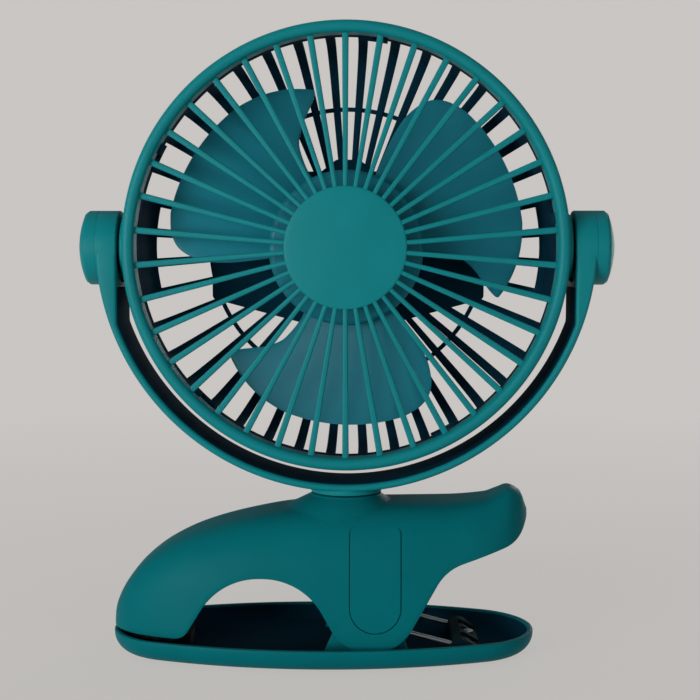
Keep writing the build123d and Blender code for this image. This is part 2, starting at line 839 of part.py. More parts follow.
# ---- fork ----
def fork_profile():
    """Front view of the band, about the pivot axis. Its inside runs straight up to the eyes."""
    middle = Pos(0, fork_arc_lift)
    outside = middle * Circle(fork_inner_radius + fork_thick)
    inside = middle * Circle(fork_inner_radius)
    inside = inside & rect(-eye_inner_face, eye_inner_face, -eye_face * 2, eye_face * 2)
    return (outside - inside) & rect(-eye_face, eye_face, -eye_face * 2, 0)


def fork_arm():
    band = through_y(Plane.XZ * fork_profile(), -fork_half_width, fork_half_width)
    for s in (-1, 1):
        band += rod_x(eye_radius, *sorted((s * eye_inner_face, s * eye_face)))
    band = head * band
    hollow = head * Pos(0, 0, fork_arc_lift) * rod_y(fork_inner_radius, -50, 50)
    neck = rod_z(neck_radius, fork_seat_z, fork_bottom_z + 3) - hollow
    band += neck
    band += rod_z(spigot_radius, spigot_end_z(), fork_bottom_z + fork_thick / 2)
    band -= rod_z(spigot_radius - 2.6, spigot_end_z() - 1, fork_bottom_z - 1)
    groove_top = collar_inner_z - swivel_washer_thick - 0.1
    groove = rod_z(spigot_radius + 1, groove_top - swivel_clip_thick - 0.1, groove_top)
    groove -= rod_z(spigot_radius - 1, 30, 60)
    band -= groove
    for s in (-1, 1):
        band -= head * rod_x(axle_radius + running_gap, s * 60, s * 100)
    return band


def spigot_end_z():
    return collar_inner_z - swivel_washer_thick - swivel_clip_thick - spigot_tail - 0.2


def swivel_washer(upper):
    if upper:
        low, high = collar_top_z, fork_seat_z
        wide = neck_radius - 1.2
    else:
        high = collar_inner_z - 0.05
        low = high - swivel_washer_thick
        wide = collar_inner_radius - 0.6
    return rod_z(wide, low, high) - rod_z(spigot_radius + 0.2, low - 1, high + 1)


def swivel_clip():
    high = collar_inner_z - swivel_washer_thick - 0.15
    low = high - swivel_clip_thick
    clip = rod_z(spigot_radius + 1.6, low, high) - rod_z(spigot_radius - 0.95, low - 1, high + 1)
    return clip - block(-2.4, 2.4, 0, 12, low - 1, high + 1)


def tilt_cap(s):
    """Domed cap over a pivot, s is +1 on the right and -1 on the left."""
    x0 = eye_face + touch_gap
    rim = x0 + cap_height - cap_dome
    dome_radius = (eye_radius ** 2 + cap_dome ** 2) / (2 * cap_dome)
    dome_middle = x0 + cap_height - dome_radius
    halfway = dome_middle + sqrt(dome_radius ** 2 - (eye_radius / 2) ** 2)
    profile = [
        Line((x0, 0), (x0, eye_radius)),
        Line((x0, eye_radius), (rim, eye_radius)),
        ThreePointArc((rim, eye_radius), (halfway, eye_radius / 2), (x0 + cap_height, 0)),
        Line((x0 + cap_height, 0), (x0, 0)),
    ]
    cap = revolve(make_face(Curve() + profile), axis=Axis.X, revolution_arc=360)
    cap = fillet(circle_edge(cap, eye_radius, Axis.X, -1), 0.8)
    cap -= rod_x(eye_radius - cap_wall, x0 - 1, x0 + cap_inside)
    cap = head * cap
    return cap if s > 0 else mirror(cap, about=Plane.YZ)


def both_sides(s, shape):
    return head * (shape if s > 0 else mirror(shape, about=Plane.YZ))


def friction_washer(s):
    washer = rod_x(pivot_washer_radius, boss_face + 0.05, boss_face + 0.05 + pivot_washer_thick)
    return both_sides(s, washer - rod_x(axle_radius + 0.1, boss_face - 1, eye_face))


def pivot_keeper(s):
    x0 = axle_end() + touch_gap
    keeper = rod_x(keeper_radius, x0, x0 + keeper_thick)
    return both_sides(s, keeper - rod_x(pivot_screw_radius + 0.1, x0 - 1, x0 + 2))


def axle_end():
    return eye_face + 0.1


def pivot_screw(s):
    x0 = axle_end() + keeper_thick + 0.04
    screw = rod_x(pivot_screw_radius - 0.05, x0 - pivot_screw_length, x0)
    screw += rod_x(pivot_screw_head_radius, x0, x0 + pivot_screw_head)
    for turn in (0, 90):
        screw -= Pos(x0 + pivot_screw_head, 0, 0) * Rot(turn, 0, 0) * Box(1.4, 3.4, 0.7)
    return both_sides(s, screw)


# ---- grilles ----
def tab_angles():
    return [tab_first_angle + 360 / tab_count * k for k in range(tab_count)]


def front_grille():
    inner = ring_radius - ring_band
    front = grille_seam - ring_depth
    section = rect(inner, ring_radius, front, grille_seam)
    section = fillet(section.vertices().sort_by(Axis.Y)[:2], ring_round)
    ring = revolve(section, axis=Axis.Y, revolution_arc=360)
    edge_y = disc_front + disc_dome
    outline = [
        ThreePointArc((0, disc_front), (disc_radius / 2, disc_front + disc_dome / 4),
                      (disc_radius, edge_y)),
        Line((disc_radius, edge_y), (disc_radius, disc_back)),
        Line((disc_radius, disc_back), (0, disc_back)),
        Line((0, disc_back), (0, disc_front)),
    ]
    disc = revolve(make_face(Curve() + outline), axis=Axis.Y, revolution_arc=360)
    disc = fillet(circle_edge(disc, disc_radius, Axis.Y, 0), 0.5)
    disc_side = edge_y + 0.15
    ring_side = disc_side + spoke_lean
    r0, r1 = disc_radius - 2, inner + ring_band / 2
    bar = Polyline((r0, disc_side), (r1, ring_side), (r1, ring_side + spoke_depth),
                   (r0, disc_side + spoke_depth - spoke_taper), close=True)
    spoke = Pos(0, 0, -spoke_width / 2) * extrude(make_face(bar), amount=spoke_width)
    spokes = [at_clock(360 * k / spoke_count, spoke) for k in range(spoke_count)]
    grille = ring + spokes + disc
    return head * (grille + [bayonet_tab(angle) for angle in tab_angles()])


def tab_outer_radius():
    return rim_radius - rim_band - seat_gap


def bayonet_tab(angle):
    """A leg behind the front ring, with a toe that hooks behind a lug on the rear rim."""
    outer = tab_outer_radius()
    inner = outer - tab_thick
    back = grille_seam + tab_reach
    root = rect(inner, ring_radius - ring_band / 2, grille_seam - 2.0, grille_seam - seat_gap)
    leg = rect(inner, outer, grille_seam - 2.0, back)
    toe = rect(inner, outer, back - toe_depth, back)
    start = angle + toe_angle - tab_leg_angle
    leg_part = around_y(root, start, tab_leg_angle) + around_y(leg, start, tab_leg_angle)
    return leg_part + around_y(toe, angle, toe_angle)


def rear_lug(angle):
    outer = rim_radius - rim_band / 2
    inner = tab_outer_radius() - tab_thick + 0.2
    back = grille_seam + tab_reach - toe_depth - moving_gap
    start = angle + toe_angle - tab_leg_angle - tab_clear_angle - lug_angle
    return around_y(rect(inner, outer, back - lug_depth, back), start, lug_angle)


def bowl_face(sink, start=0.0):
    """Cut through the rear bowl's wall, with the radius as the first coordinate.

    The wall is thinner by sink on both sides, and starts inside the rim."""
    r_in = rim_radius - rim_band + sink
    r_out = rim_radius - sink
    r_plate = plate_top_z - 2
    low = rim_back - 1 - start
    outside = FilletPolyline((r_out, low), (r_out - bowl_taper, bowl_back - 1.2 - sink),
                             (r_plate, bowl_back - sink), radius=bowl_round - sink)
    inside = FilletPolyline((r_plate, bowl_inner_back + sink),
                            (r_in - bowl_taper, bowl_inner_back - 1.2 + sink),
                            (r_in, low), radius=bowl_round - bowl_depth + sink)
    ends = [Line(outside @ 1, inside @ 0), Line(inside @ 1, outside @ 0)]
    return make_face(Curve() + [outside, inside] + ends)


def rib_angles():
    return [360 * (k + 0.5) / rib_count for k in range(rib_count)]


def rib_plan():
    """Front view of a rib along +X, which widens towards the rim."""
    near, far = rib_width / 2, rib_rim_width / 2
    outline = Polyline((plate_top_z - 3, -near), (rim_radius, -far), (rim_radius, far),
                       (plate_top_z - 3, near), close=True)
    return Plane.XZ * make_face(outline)


def plate_sketch():
    right = [(plate_tab_half_top, plate_tab_z), (plate_tab_half_root, plate_top_z),
             (plate_knee_x, plate_top_z), (plate_half_length, plate_half_height),
             (plate_half_length, -plate_half_height), (plate_knee_x, -plate_top_z)]
    left = [(-x, z) for x, z in reversed(right)]
    outline = make_face(Polyline(*(right + left), close=True))
    return fillet(outline.vertices(), 1.5)


def rear_grille():
    rim = revolve(rect(rim_radius - rim_band, rim_radius, grille_seam + 0.1, rim_back),
                  axis=Axis.Y, revolution_arc=360)
    rib = Pos(0, 0, -rib_rim_width / 2) * extrude(bowl_face(rib_sink), amount=rib_rim_width)
    rib = rib & through_y(rib_plan(), grille_seam, bowl_back + 1)
    ribs = [at_clock(angle, rib) for angle in rib_angles()]
    mid_in = mid_ring_radius - mid_ring_band / 2
    mid_face = bowl_face(mid_ring_sink) & rect(mid_in, mid_in + mid_ring_band, 0, bowl_back)
    mid_ring = revolve(mid_face, axis=Axis.Y, revolution_arc=360)
    plate = through_y(Plane.XZ * plate_sketch(), plate_front, plate_back)
    grille = rim + ribs + mid_ring + plate
    half_span = (side_plate_ribs - 1) / 2 * 360 / rib_count
    edge = rim_radius - side_plate_edge
    side_cut = bowl_face(0, 0.5) & rect(edge, rim_radius + 1, 0, bowl_back)
    for middle in (90, 270):
        grille += around_y(side_cut, middle - half_span, 2 * half_span)
    for angle in tab_angles():
        grille += rear_lug(angle)
    for s in (-1, 1):
        boss = rod_x(boss_radius, *sorted((s * (rim_radius - 2.4), s * boss_face)))
        boss -= rod_y(ring_radius + moving_gap, 4 * grille_seam, grille_seam + 0.1)
        axle = rod_x(axle_radius, *sorted((s * (boss_face - 2), s * axle_end())))
        grille += boss + axle
        hole_end = axle_end() - pivot_screw_length
        grille -= rod_x(pivot_screw_radius, *sorted((s * hole_end, s * (axle_end() + 1))))
    grille -= rod_y(bush_radius + 1.0, plate_front - 1, bowl_back + 1)
    for x in (-motor_screw_pitch / 2, motor_screw_pitch / 2):
        grille -= rod_y(motor_screw_radius + 0.15, plate_front - 1, bowl_back + 1, x, 0)
    for z in (-cover_screw_pitch / 2, cover_screw_pitch / 2):
        grille -= rod_y(screw_radius, plate_front - 1, bowl_back + 1, 0, z)
    grille -= lead_channel()
    return head * grille


def lead_route():
    """The motor lead runs in the rear plate from the motor towards the left pivot."""
    y = plate_front + lead_radius + 0.3
    return [(-motor_radius + 3.0, y), (-plate_half_length + 2.0, y)]


def lead_channel():
    (x1, y), (x0, _) = lead_route()
    grow = 0.15
    return block(x0 - grow, x1 + grow, plate_front - 1, y + lead_radius + grow,
                 -lead_radius - grow + lead_drop, lead_radius + grow + lead_drop)


def motor_lead():
    (x1, y), (x0, _) = lead_route()
    return head * rod_x(lead_radius, x0, x1, y, lead_drop)


# ---- motor ----
def motor_can():
    back = plate_front - touch_gap
    can = rod_y(motor_radius, motor_front, back)
    can = fillet(can.faces().sort_by(Axis.Y)[0].edges(), 1.0)
    can -= rod_y(motor_radius - motor_wall, motor_front + 1.2, back - 1.2)
    can -= rod_y(bush_radius, motor_front - 1, back + 1)
    for x in (-motor_screw_pitch / 2, motor_screw_pitch / 2):
        can -= rod_y(motor_screw_radius, back - 1.3, back + 1, x, 0)
    return head * can


def motor_bush(front):
    y0 = motor_front - 0.8 if front else plate_front - 0.8 - bush_length + 1.4
    bush = rod_y(bush_radius, y0, y0 + bush_length)
    return head * (bush - rod_y(shaft_radius + running_gap * 0.8, y0 - 1, y0 + bush_length + 1))


def motor_magnets():
    outer = motor_radius - motor_wall
    middle = (motor_front + plate_front) / 2
    face = rect(outer - magnet_thick, outer, middle - armature_length / 2 - 1,
                middle + armature_length / 2 + 1)
    pair = [around_y(face, start - magnet_span / 2, magnet_span) for start in (0, 180)]
    return head * Compound(pair)


def armature():
    middle = (motor_front + plate_front) / 2
    core = rod_y(armature_radius, middle - armature_length / 2, middle + armature_length / 2)
    for k in range(3):
        slot = block(armature_radius - 3.4, armature_radius + 1, middle - 20, middle + 20, -0.7, 0.7)
        core -= at_clock(60 + 120 * k, slot)
    return head * (core - rod_y(shaft_radius, middle - 20, middle + 20))


def motor_shaft():
    return head * rod_y(shaft_radius, shaft_nose, plate_front + 1.6)


def motor_screws():
    screws = []
    y0 = plate_back + touch_gap
    for x in (-motor_screw_pitch / 2, motor_screw_pitch / 2):
        screw = rod_y(motor_screw_radius - 0.05, plate_front - 1.15, y0, x, 0)
        screw += rod_y(screw_head_radius, y0, y0 + screw_head, x, 0)
        screws.append(screw - block(x - 1.3, x + 1.3, y0 + 0.6, y0 + 3, -0.3, 0.3))
    return head * Compound(screws)


def cover_back():
    return plate_back + touch_gap + motor_cover_depth


def motor_cover():
    front = plate_back + touch_gap
    cover = rod_y(motor_cover_radius, front, cover_back())
    cover = fillet(cover.faces().sort_by(Axis.Y)[-1].edges(), 2.2)
    cover -= rod_y(motor_cover_radius - motor_cover_wall, front - 1, cover_back() - motor_cover_wall)
    for z in (-cover_screw_pitch / 2, cover_screw_pitch / 2):
        cover += rod_y(screw_radius + 1.3, front, cover_back() - 0.5, 0, z)
        cover -= rod_y(screw_radius + 0.15, front - 1, cover_back() + 1, 0, z)
        cover -= rod_y(screw_head_radius + 0.2, cover_back() - 1.4, cover_back() + 1, 0, z)
    for k in range(-3, 4):
        slot = block(k * 3.6 - 0.8, k * 3.6 + 0.8, front + 1, cover_back() + 1, -6, 6)
        cover -= slot
    return head * cover


def cover_screws():
    screws = []
    y1 = cover_back() - 1.38
    for z in (-cover_screw_pitch / 2, cover_screw_pitch / 2):
        screw = rod_y(screw_radius - 0.05, plate_front + 0.4, y1, 0, z)
        screw += rod_y(screw_head_radius, y1, y1 + screw_head, 0, z)
        screws.append(screw - block(-1.3, 1.3, y1 + 0.6, y1 + 3, z - 0.3, z + 0.3))
    return head * Compound(screws)


# ---- rotor ----
def blade_outline():
    """Front view of one blade."""
    def place(pair):
        return clock_point(pair[0], pair[1] * blade_tip_radius)
    trailing = [place(pair) for pair in blade_trailing_edge]
    leading = [place(pair) for pair in blade_leading_edge]
    outer_end = clock_point(blade_outer_end, blade_tip_radius)
    outer_middle = clock_point((blade_trailing_edge[-1][0] + blade_outer_end) / 2, blade_tip_radius)
    def way(angle):
        return (cos(radians(angle)), -sin(radians(angle)))
    edges = [
        Spline(*trailing, tangents=((trailing[1][0] - trailing[0][0], trailing[1][1] - trailing[0][1]),
                                    way(blade_trailing_edge[-1][0]))),
        ThreePointArc(trailing[-1], outer_middle, outer_end),
        Spline(outer_end, clock_point(337, 0.965 * blade_tip_radius), leading[0]),
        Spline(*leading),
        Line(leading[-1], trailing[0]),
    ]
    return make_face(Curve() + edges)


def blade_sheet():
    """A screw surface with the blade's thickness, wider than the blade all round."""
    first = blade_trailing_edge[0][0] - 4
    last = blade_leading_edge[0][0] + 4
    steps = 12
    sections = []
    for k in range(steps + 1):
        y = blade_front + blade_sweep_depth * k / steps
        face = rect(blade_hub_radius - 4, blade_tip_radius + 4, y, y + blade_thick)
        sections.append(at_clock(first + (last - first) * k / steps, face))
    return loft(sections)


def blade_rotor():
    prism = through_y(Plane.XZ * blade_outline(), -30, 30)
    blade = blade_sheet() & prism
    blade -= rod_y(blade_hub_radius - hub_wall / 2, -30, 30)
    hub = rod_y(blade_hub_radius, hub_front, hub_front + hub_depth)
    hub = fillet(hub.faces().sort_by(Axis.Y)[0].edges(), 1.6)
    hollow = rod_y(blade_hub_radius - hub_wall, hub_front + hub_wall, hub_front + hub_depth + 1)
    rotor = hub - hollow
    blades = [Rot(0, 360 / blade_count * k, 0) * blade for k in range(blade_count)]
    rotor += blades
    rotor += rod_y(hub_boss_radius, hub_front + hub_wall / 2, motor_front - 1.4)
    rotor -= rod_y(shaft_radius, shaft_nose, 30)
    return head * rotor


def hub_nut():
    y1 = hub_front - touch_gap
    nut = rod_y(hub_nut_radius, y1 - hub_nut_height, y1)
    return head * fillet(nut.faces().sort_by(Axis.Y)[0].edges(), 0.8)


def write(name, shape):
    """Writes one piece to its own file."""
    shape.label = name
    export_step(shape, os.path.join("parts", name + ".step"))


PIECES = {
    "base_tray": base_tray,
    "foot_pads": foot_pads,
    "tray_grip_pad": tray_grip_pad,
    "hinge_pin": hinge_pin,
    "torsion_spring": torsion_spring,
    "spring_anchor": spring_anchor,
    "anchor_screw": anchor_screw,
    "jaw_shell": jaw_shell,
    "jaw_floor": jaw_floor,
    "floor_screws": floor_screws,
    "nose_grip_pad": nose_grip_pad,
    "side_cover_front": lambda: side_cover(True),
    "side_cover_rear": lambda: side_cover(False),
    "battery_cell": battery_cell,
    "circuit_board": circuit_board,
    "board_screws": board_screws,
    "power_button": power_button,
    "indicator_lens": indicator_lens,
    "usb_socket": usb_socket,
    "fork_arm": fork_arm,
    "swivel_washer_upper": lambda: swivel_washer(True),
    "swivel_washer_lower": lambda: swivel_washer(False),
    "swivel_clip": swivel_clip,
    "tilt_cap_left": lambda: tilt_cap(-1),
    "tilt_cap_right": lambda: tilt_cap(1),
    "friction_washer_left": lambda: friction_washer(-1),
    "friction_washer_right": lambda: friction_washer(1),
    "pivot_keeper_left": lambda: pivot_keeper(-1),
    "pivot_keeper_right": lambda: pivot_keeper(1),
    "pivot_screw_left": lambda: pivot_screw(-1),
    "pivot_screw_right": lambda: pivot_screw(1),
    "front_grille": front_grille,
    "rear_grille": rear_grille,
    "motor_can": motor_can,
    "motor_bush_front": lambda: motor_bush(True),
    "motor_bush_rear": lambda: motor_bush(False),
    "motor_magnets": motor_magnets,
    "motor_screws": motor_screws,
    "motor_cover": motor_cover,
    "cover_screws": cover_screws,
    "motor_lead": motor_lead,
    "armature": armature,
    "motor_shaft": motor_shaft,
    "blade_rotor": blade_rotor,
    "hub_nut": hub_nut,
}

for name, make in PIECES.items():
    write(name, make())
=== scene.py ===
import json
from math import asin, atan2, cos, hypot, pi, radians, sin, tan

import bmesh
import bpy
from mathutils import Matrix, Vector


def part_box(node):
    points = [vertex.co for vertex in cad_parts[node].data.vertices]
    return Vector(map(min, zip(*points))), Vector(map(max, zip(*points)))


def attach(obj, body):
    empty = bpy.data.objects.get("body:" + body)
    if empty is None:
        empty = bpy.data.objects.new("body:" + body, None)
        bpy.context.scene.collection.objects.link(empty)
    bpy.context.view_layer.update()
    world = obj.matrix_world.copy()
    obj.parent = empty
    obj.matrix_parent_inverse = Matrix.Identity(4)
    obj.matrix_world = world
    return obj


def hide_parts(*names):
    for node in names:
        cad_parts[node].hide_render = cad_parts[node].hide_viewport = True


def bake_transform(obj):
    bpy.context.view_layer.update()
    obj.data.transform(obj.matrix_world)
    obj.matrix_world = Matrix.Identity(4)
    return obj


# A clip fan: a round head on a fork, on a sprung clamp. Shapes are worked out in millimetres
# and turned into metres where a piece is made. +Z is up and -Y is the front.

MM = 0.001
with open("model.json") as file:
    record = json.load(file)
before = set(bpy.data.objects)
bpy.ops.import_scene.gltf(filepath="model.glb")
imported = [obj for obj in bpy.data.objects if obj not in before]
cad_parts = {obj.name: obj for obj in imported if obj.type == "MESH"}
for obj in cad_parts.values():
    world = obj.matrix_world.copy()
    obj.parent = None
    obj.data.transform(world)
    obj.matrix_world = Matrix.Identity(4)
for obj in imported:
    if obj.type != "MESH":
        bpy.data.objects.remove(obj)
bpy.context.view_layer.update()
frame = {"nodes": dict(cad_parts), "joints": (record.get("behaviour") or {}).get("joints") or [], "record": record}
joints = {joint["name"]: joint for joint in frame["joints"]}


def joint_place(name):
    return Vector(joints[name]["pos_m"]) / MM


def node_box(node):
    low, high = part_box(node)
    return low / MM, high / MM


# ---- sizes of the head ----
HEAD = joint_place("head_tilt")
GUARD_LOW, GUARD_HIGH = node_box("front_grille")
RING_RADIUS = (GUARD_HIGH.x - GUARD_LOW.x) / 2
RING_BAND = 3.9
RING_DEPTH = 7.5
RING_ROUND = 1.85
RING_EDGE = 0.3
SEAM = -8.0                  # the front ring ends here and the cage begins, along Y
CAP_FRONT = GUARD_LOW.y
CAP_RADIUS = 19.5
CAP_DOME = 0.8
CAP_THICK = 2.4
CAP_EDGE = 0.6
SPOKES = 38
SPOKE_CAP_WIDTH = 1.44
SPOKE_RING_WIDTH = 2.088
SPOKE_DEPTH = 2.3
SPOKE_LEAN = 2.4
SPOKE_TAPER = 1.2
SPOKE_ROOT = 2.0             # how far a spoke runs in behind the cap
SPOKE_BACK = 0.15            # how far a spoke lies behind the cap's edge
BAR_ROUND = 0.45             # corners of the spokes' and the ribs' sections

RIM_RADIUS = RING_RADIUS - 0.6
RIM_BAND = 2.7
RIM_FRONT = SEAM + 0.1
RIM_BACK = 1.0
RIM_EDGE = 0.4

TABS = 5
TAB_FIRST = 4.0
TAB_OUTER = RIM_RADIUS - RIM_BAND - 0.15
TAB_THICK = 1.1
TAB_REACH = 6.4
TAB_ROOT = 2.0
TAB_LEG = 3.0
TAB_EDGE = 0.3
TOE_SPAN = 7.5
TOE_DEPTH = 1.6
LUG_SPAN = 4.0
LUG_DEPTH = 1.6
LUG_SHORT = 0.2              # how far a lug stays off the tab's inner face
LUG_LEG_GAP = 1.0            # degrees between a lug and the tab's leg
LUG_TOE_GAP = 0.3

BOWL_BACK = 27.2
BOWL_DEPTH = 3.2
BOWL_TAPER = 1.3
BOWL_ROUND = 14.0
BOWL_DISH = 1.2
BOWL_TUCK = 0.2
BOWL_INNER = 24.0            # the ribs run in to this radius, under the plate
RIBS = 40
RIB_WIDTH = 1.8
RIB_RIM_WIDTH = 3.2
MID_RING_RADIUS = 47.0
MID_RING_BAND = 1.4
MID_RING_SUNK = 0.5
MID_RING_HALF_DEPTH = 0.9
SIDE_CLOSED_EDGE = 4.2
SIDE_CLOSED_RIBS = 1.5
PLATE_THICK = 3.8
PLATE_BACK = BOWL_BACK + 0.2
PLATE_CORNERS = ((4.0, 30.0), (9.0, 26.0), (15.0, 26.0), (46.6, 17.5), (46.6, -17.5), (15.0, -26.0))
PLATE_ROUND = 1.5
PLATE_EDGE = 0.5
BOSS_RADIUS = 11.0
BOSS_EDGE = 0.8
BOSS_START = RING_RADIUS + 0.3
BOSS_ROOT = RIM_RADIUS - 2.4
BOSS_FRONT = SEAM + 0.15

# ---- sizes of the fork ----
FORK_INNER = RING_RADIUS + 6.5
FORK_OUTER = FORK_INNER + 2.4
FORK_MIDDLE = HEAD + Vector((0, 0, 1.5))
FORK_HALF = 11.9
FORK_EDGE = 1.1
EYE_RADIUS = 12.0
EYE_INNER = RING_RADIUS + 2.1
EYE_FACE = EYE_INNER + 6.9
EYE_INNER_EDGE = 0.7
EYE_FACE_EDGE = 0.12
BOSS_FACE = EYE_INNER - 0.7
AXLE_RADIUS = 4.0
NECK_RADIUS = 11.6
NECK_EDGE = 0.2
NECK_SUNK = 1.6              # how far the neck runs up into the fork
PIVOT_CAP_HEIGHT = 6.6
PIVOT_CAP_DOME = 2.7
PIVOT_CAP_EDGE = 0.9
PIVOT_CAP_GAP = 0.02
# The fork's dark inside sheet is painted shade over the fork's teal.
FORK_SHADE_START = 11.0          # degrees below the pivots where the dark sheet of painted shade on the fork's inside begins
FORK_SHADE_PROUD = 0.14
FORK_SHADE_SUNK = 0.3
FORK_SHADE_MARGIN = 0.9
FORK_SHADE_EDGE = 0.12

# ---- sizes of the blades ----
BLADES = 3
BLADE_TIP = 58.5
BLADE_THICK = 1.5
BLADE_FRONT = -3.6
BLADE_SWEEP = 15.5
BLADE_MARGIN = 4.0           # degrees past both edges over which the sweep is spread
EDGE_SHARE = 0.25            # the blade's thickness at its edges, as a share
TIP_THINNING = 0.45
HUB_RADIUS = 25.0
HUB_FRONT = -6.2
HUB_DEPTH = 14.0
HUB_WALL = 1.8
HUB_ROUND = 1.8
HUB_EDGE = 0.4
HUB_INNER_ROUND = 1.0
SHAFT_RADIUS = 1.0
HUB_BOSS_RADIUS = 4.0
HUB_BOSS_FRONT = HUB_FRONT + 1.0
HUB_BOSS_BACK = 4.6
BLADE_ROOT = 0.4             # where the blade starts, as a share of the tip radius
# One blade's two edges: share of the tip radius, angle clockwise from the top seen from the front
TRAILING_EDGE = ((BLADE_ROOT, 262.0), (0.60, 262.4), (0.76, 264.0), (0.86, 266.6), (0.935, 270.0),
                 (0.98, 275.0), (1.0, 281.0))
LEADING_EDGE = ((BLADE_ROOT, 335.0), (0.48, 333.0), (0.62, 334.5), (0.72, 339.0), (0.79, 343.5),
                (0.86, 347.2), (0.905, 348.4), (0.935, 343.5), (0.965, 336.5), (0.985, 330.0),
                (1.0, 322.0))

# ---- sizes of the upper jaw ----
PIN = joint_place("clip_hinge")
NOSE_X = -76.6
LEVER_X = 59.3
JAW_HALF = 24.6
JAW_WALL = 2.4
JAW_OPEN_Z = 2.0
JAW_EDGE = 0.5
JAW_EDGE_BEND = 0.29
NOSE_PLAN_POWER = 2.6
LEVER_PLAN_POWER = 3.8
PLAN_ROOT = 2.2
CROSS_POWER = 4.0
JAW_STATIONS = 110
STATION_GAP = 0.12           # no two cross-sections of the jaw lie closer together than this
JAW_END = 0.05               # how far the first cross-section lies from the nose
JAW_STEPS = 44               # steps over the crown in one cross-section
LEAST_HEIGHT = 0.5
LOW_LIMIT = 0.985            # the lower edge stays under this share of the height
NOSE_BOTTOM = 8.4
NOSE_LENGTH = 25.0
NOSE_ROUND = 5.0
ARCH_TOP = 28.6
ARCH_LEFT_RUN = 12.4
ARCH_LEFT_ROUND = 22.0
ARCH_RIGHT_RUN = 21.6
ARCH_RIGHT_ROUND = 21.0
LOBE_RADIUS = 14.6
LEVER_ROOT = (31.9, 31.4)
LEVER_ROOT_ROUND = 14.0
LEVER_CORNER = (55.7, 38.4)
LEVER_CORNER_ROUND = 10.0
LEVER_TIP = (LEVER_X + 0.1, 45.2)
LEVER_TIP_ROUND = 5.0
LEVER_END_Z = 52.0
# The jaw's top line: share of the way from the nose to the lever's end, height
JAW_TOP_LINE = (
    (0.0, 9.4), (0.003, 13.6), (0.012, 17.6), (0.035, 23.6), (0.075, 30.2), (0.135, 36.4),
    (0.215, 41.5), (0.315, 45.4), (0.43, 48.3), (0.56, 49.9), (0.69, 50.2), (0.81, 50.6),
    (0.90, 51.9), (0.93, 53.5), (0.955, 54.8), (0.982, 53.3), (0.996, 48.6), (1.0, 47.2),
)
COVER_MIDDLE = PIN.x + 1.2
COVER_HALF = 8.0
COVER_TOP = 44.75
COVER_CORNER = 2.0
COVER_THICK = 1.2
COVER_EDGE = 0.12
COVER_GROOVE = 0.26
COVER_TOP_GAP = 0.01
COVER_POCKET = COVER_THICK + 0.1
CUTTER_PROUD = 4.0
REAR_WALL = (12, 30)         # cutters for the rear wall's openings reach between these, along Y
BUTTON_HOLE = 3.9
LENS_HOLE = 1.05
SOCKET_GAP = 0.15
SOCKET_ROUND = 1.3
COLLAR_RADIUS = 11.6
COLLAR_TOP = 52.5
COLLAR_EDGE = 0.4
COLLAR_BREAK = 0.12          # the middle of that edge's bend
COLLAR_FLARE = 6.2
COLLAR_FLARE_LEAN = 2.8      # how much more it flares towards the nose, and less towards the lever
COLLAR_CURVE = 1.5
COLLAR_BORE = 5.7
COLLAR_BORE_DEPTH = 5.0
COLLAR_ON_CROWN = 0.06
COLLAR_SUNK = 1.0

# ---- sizes of the tray ----
TRAY_HALF_LENGTH = 69.2
TRAY_HALF_WIDTH = 31.0
TRAY_END = 23.0
TRAY_SHIFT = -7.6
TRAY_RIM = 7.7
TRAY_WALL = 1.8
TRAY_ROUND = 6.2
TRAY_LIFT = 0.5
TRAY_LIP = ((0.0, 0.5), (0.12, 0.15), (0.5, 0.0))      # inset and drop of the rim's outer edge
# The tray's dark inside sheet is painted shade: how far it stands out, how far it sinks in, how far under the rim
# it stops.
TRAY_SHADE_PROUD = 0.12
TRAY_SHADE_SUNK = 0.05
TRAY_SHADE_DROP = 0.7
EAR_RADIUS = 5.5
EAR_ROUND = 5.4
EAR_FOOT_LEFT = 16.4
EAR_FOOT_RIGHT = 12.6
EAR_THICK = 3.0
EAR_OUTER = 19.6
EAR_EDGE = 0.3
WIRE_RADIUS = 0.8
WIRE_SIDES = 14
COIL_RADIUS = 7.6
COIL_PITCH = 2.15
COIL_TURNS = 4
BRIDGE_HALF_GAP = 2.9
BRIDGE_REACH = 13.0
LEG_END = (40.0, 3.7)


# ---- plain shape work, in millimetres ----
def rounded(corners, closed=True, steps=6):
    """A line through corners (x, y, radius), each corner rounded by its radius."""
    points = []
    count = len(corners)
    for i, (x, y, radius) in enumerate(corners):
        here = Vector((x, y))
        if radius <= 0 or (not closed and i in (0, count - 1)):
            points.append(here)
            continue
        back = (Vector(corners[i - 1][:2]) - here).normalized()
        on = (Vector(corners[(i + 1) % count][:2]) - here).normalized()
        half = back.angle(on) / 2
        centre = here + (back + on).normalized() * radius / sin(half)
        first = here + back * radius / tan(half) - centre
        last = here + on * radius / tan(half) - centre
        start = atan2(first.y, first.x)
        turn = (atan2(last.y, last.x) - start + pi) % (2 * pi) - pi
        for k in range(steps + 1):
            angle = start + turn * k / steps
            points.append(centre + Vector((cos(angle), sin(angle))) * radius)
    return points


def rounded_rect(x0, x1, y0, y1, radius, steps=3):
    """A rectangle's outline with rounded corners."""
    return rounded([(x0, y0, radius), (x1, y0, radius), (x1, y1, radius), (x0, y1, radius)],
                   steps=steps)


def circle(radius, count):
    """Points of a circle about the origin, as pairs."""
    return [(radius * cos(2 * pi * k / count), radius * sin(2 * pi * k / count))
            for k in range(count)]


def quarter(steps, first=0):
    """Angles that divide a quarter turn into steps."""
    return [pi / 2 * k / steps for k in range(first, steps + 1)]


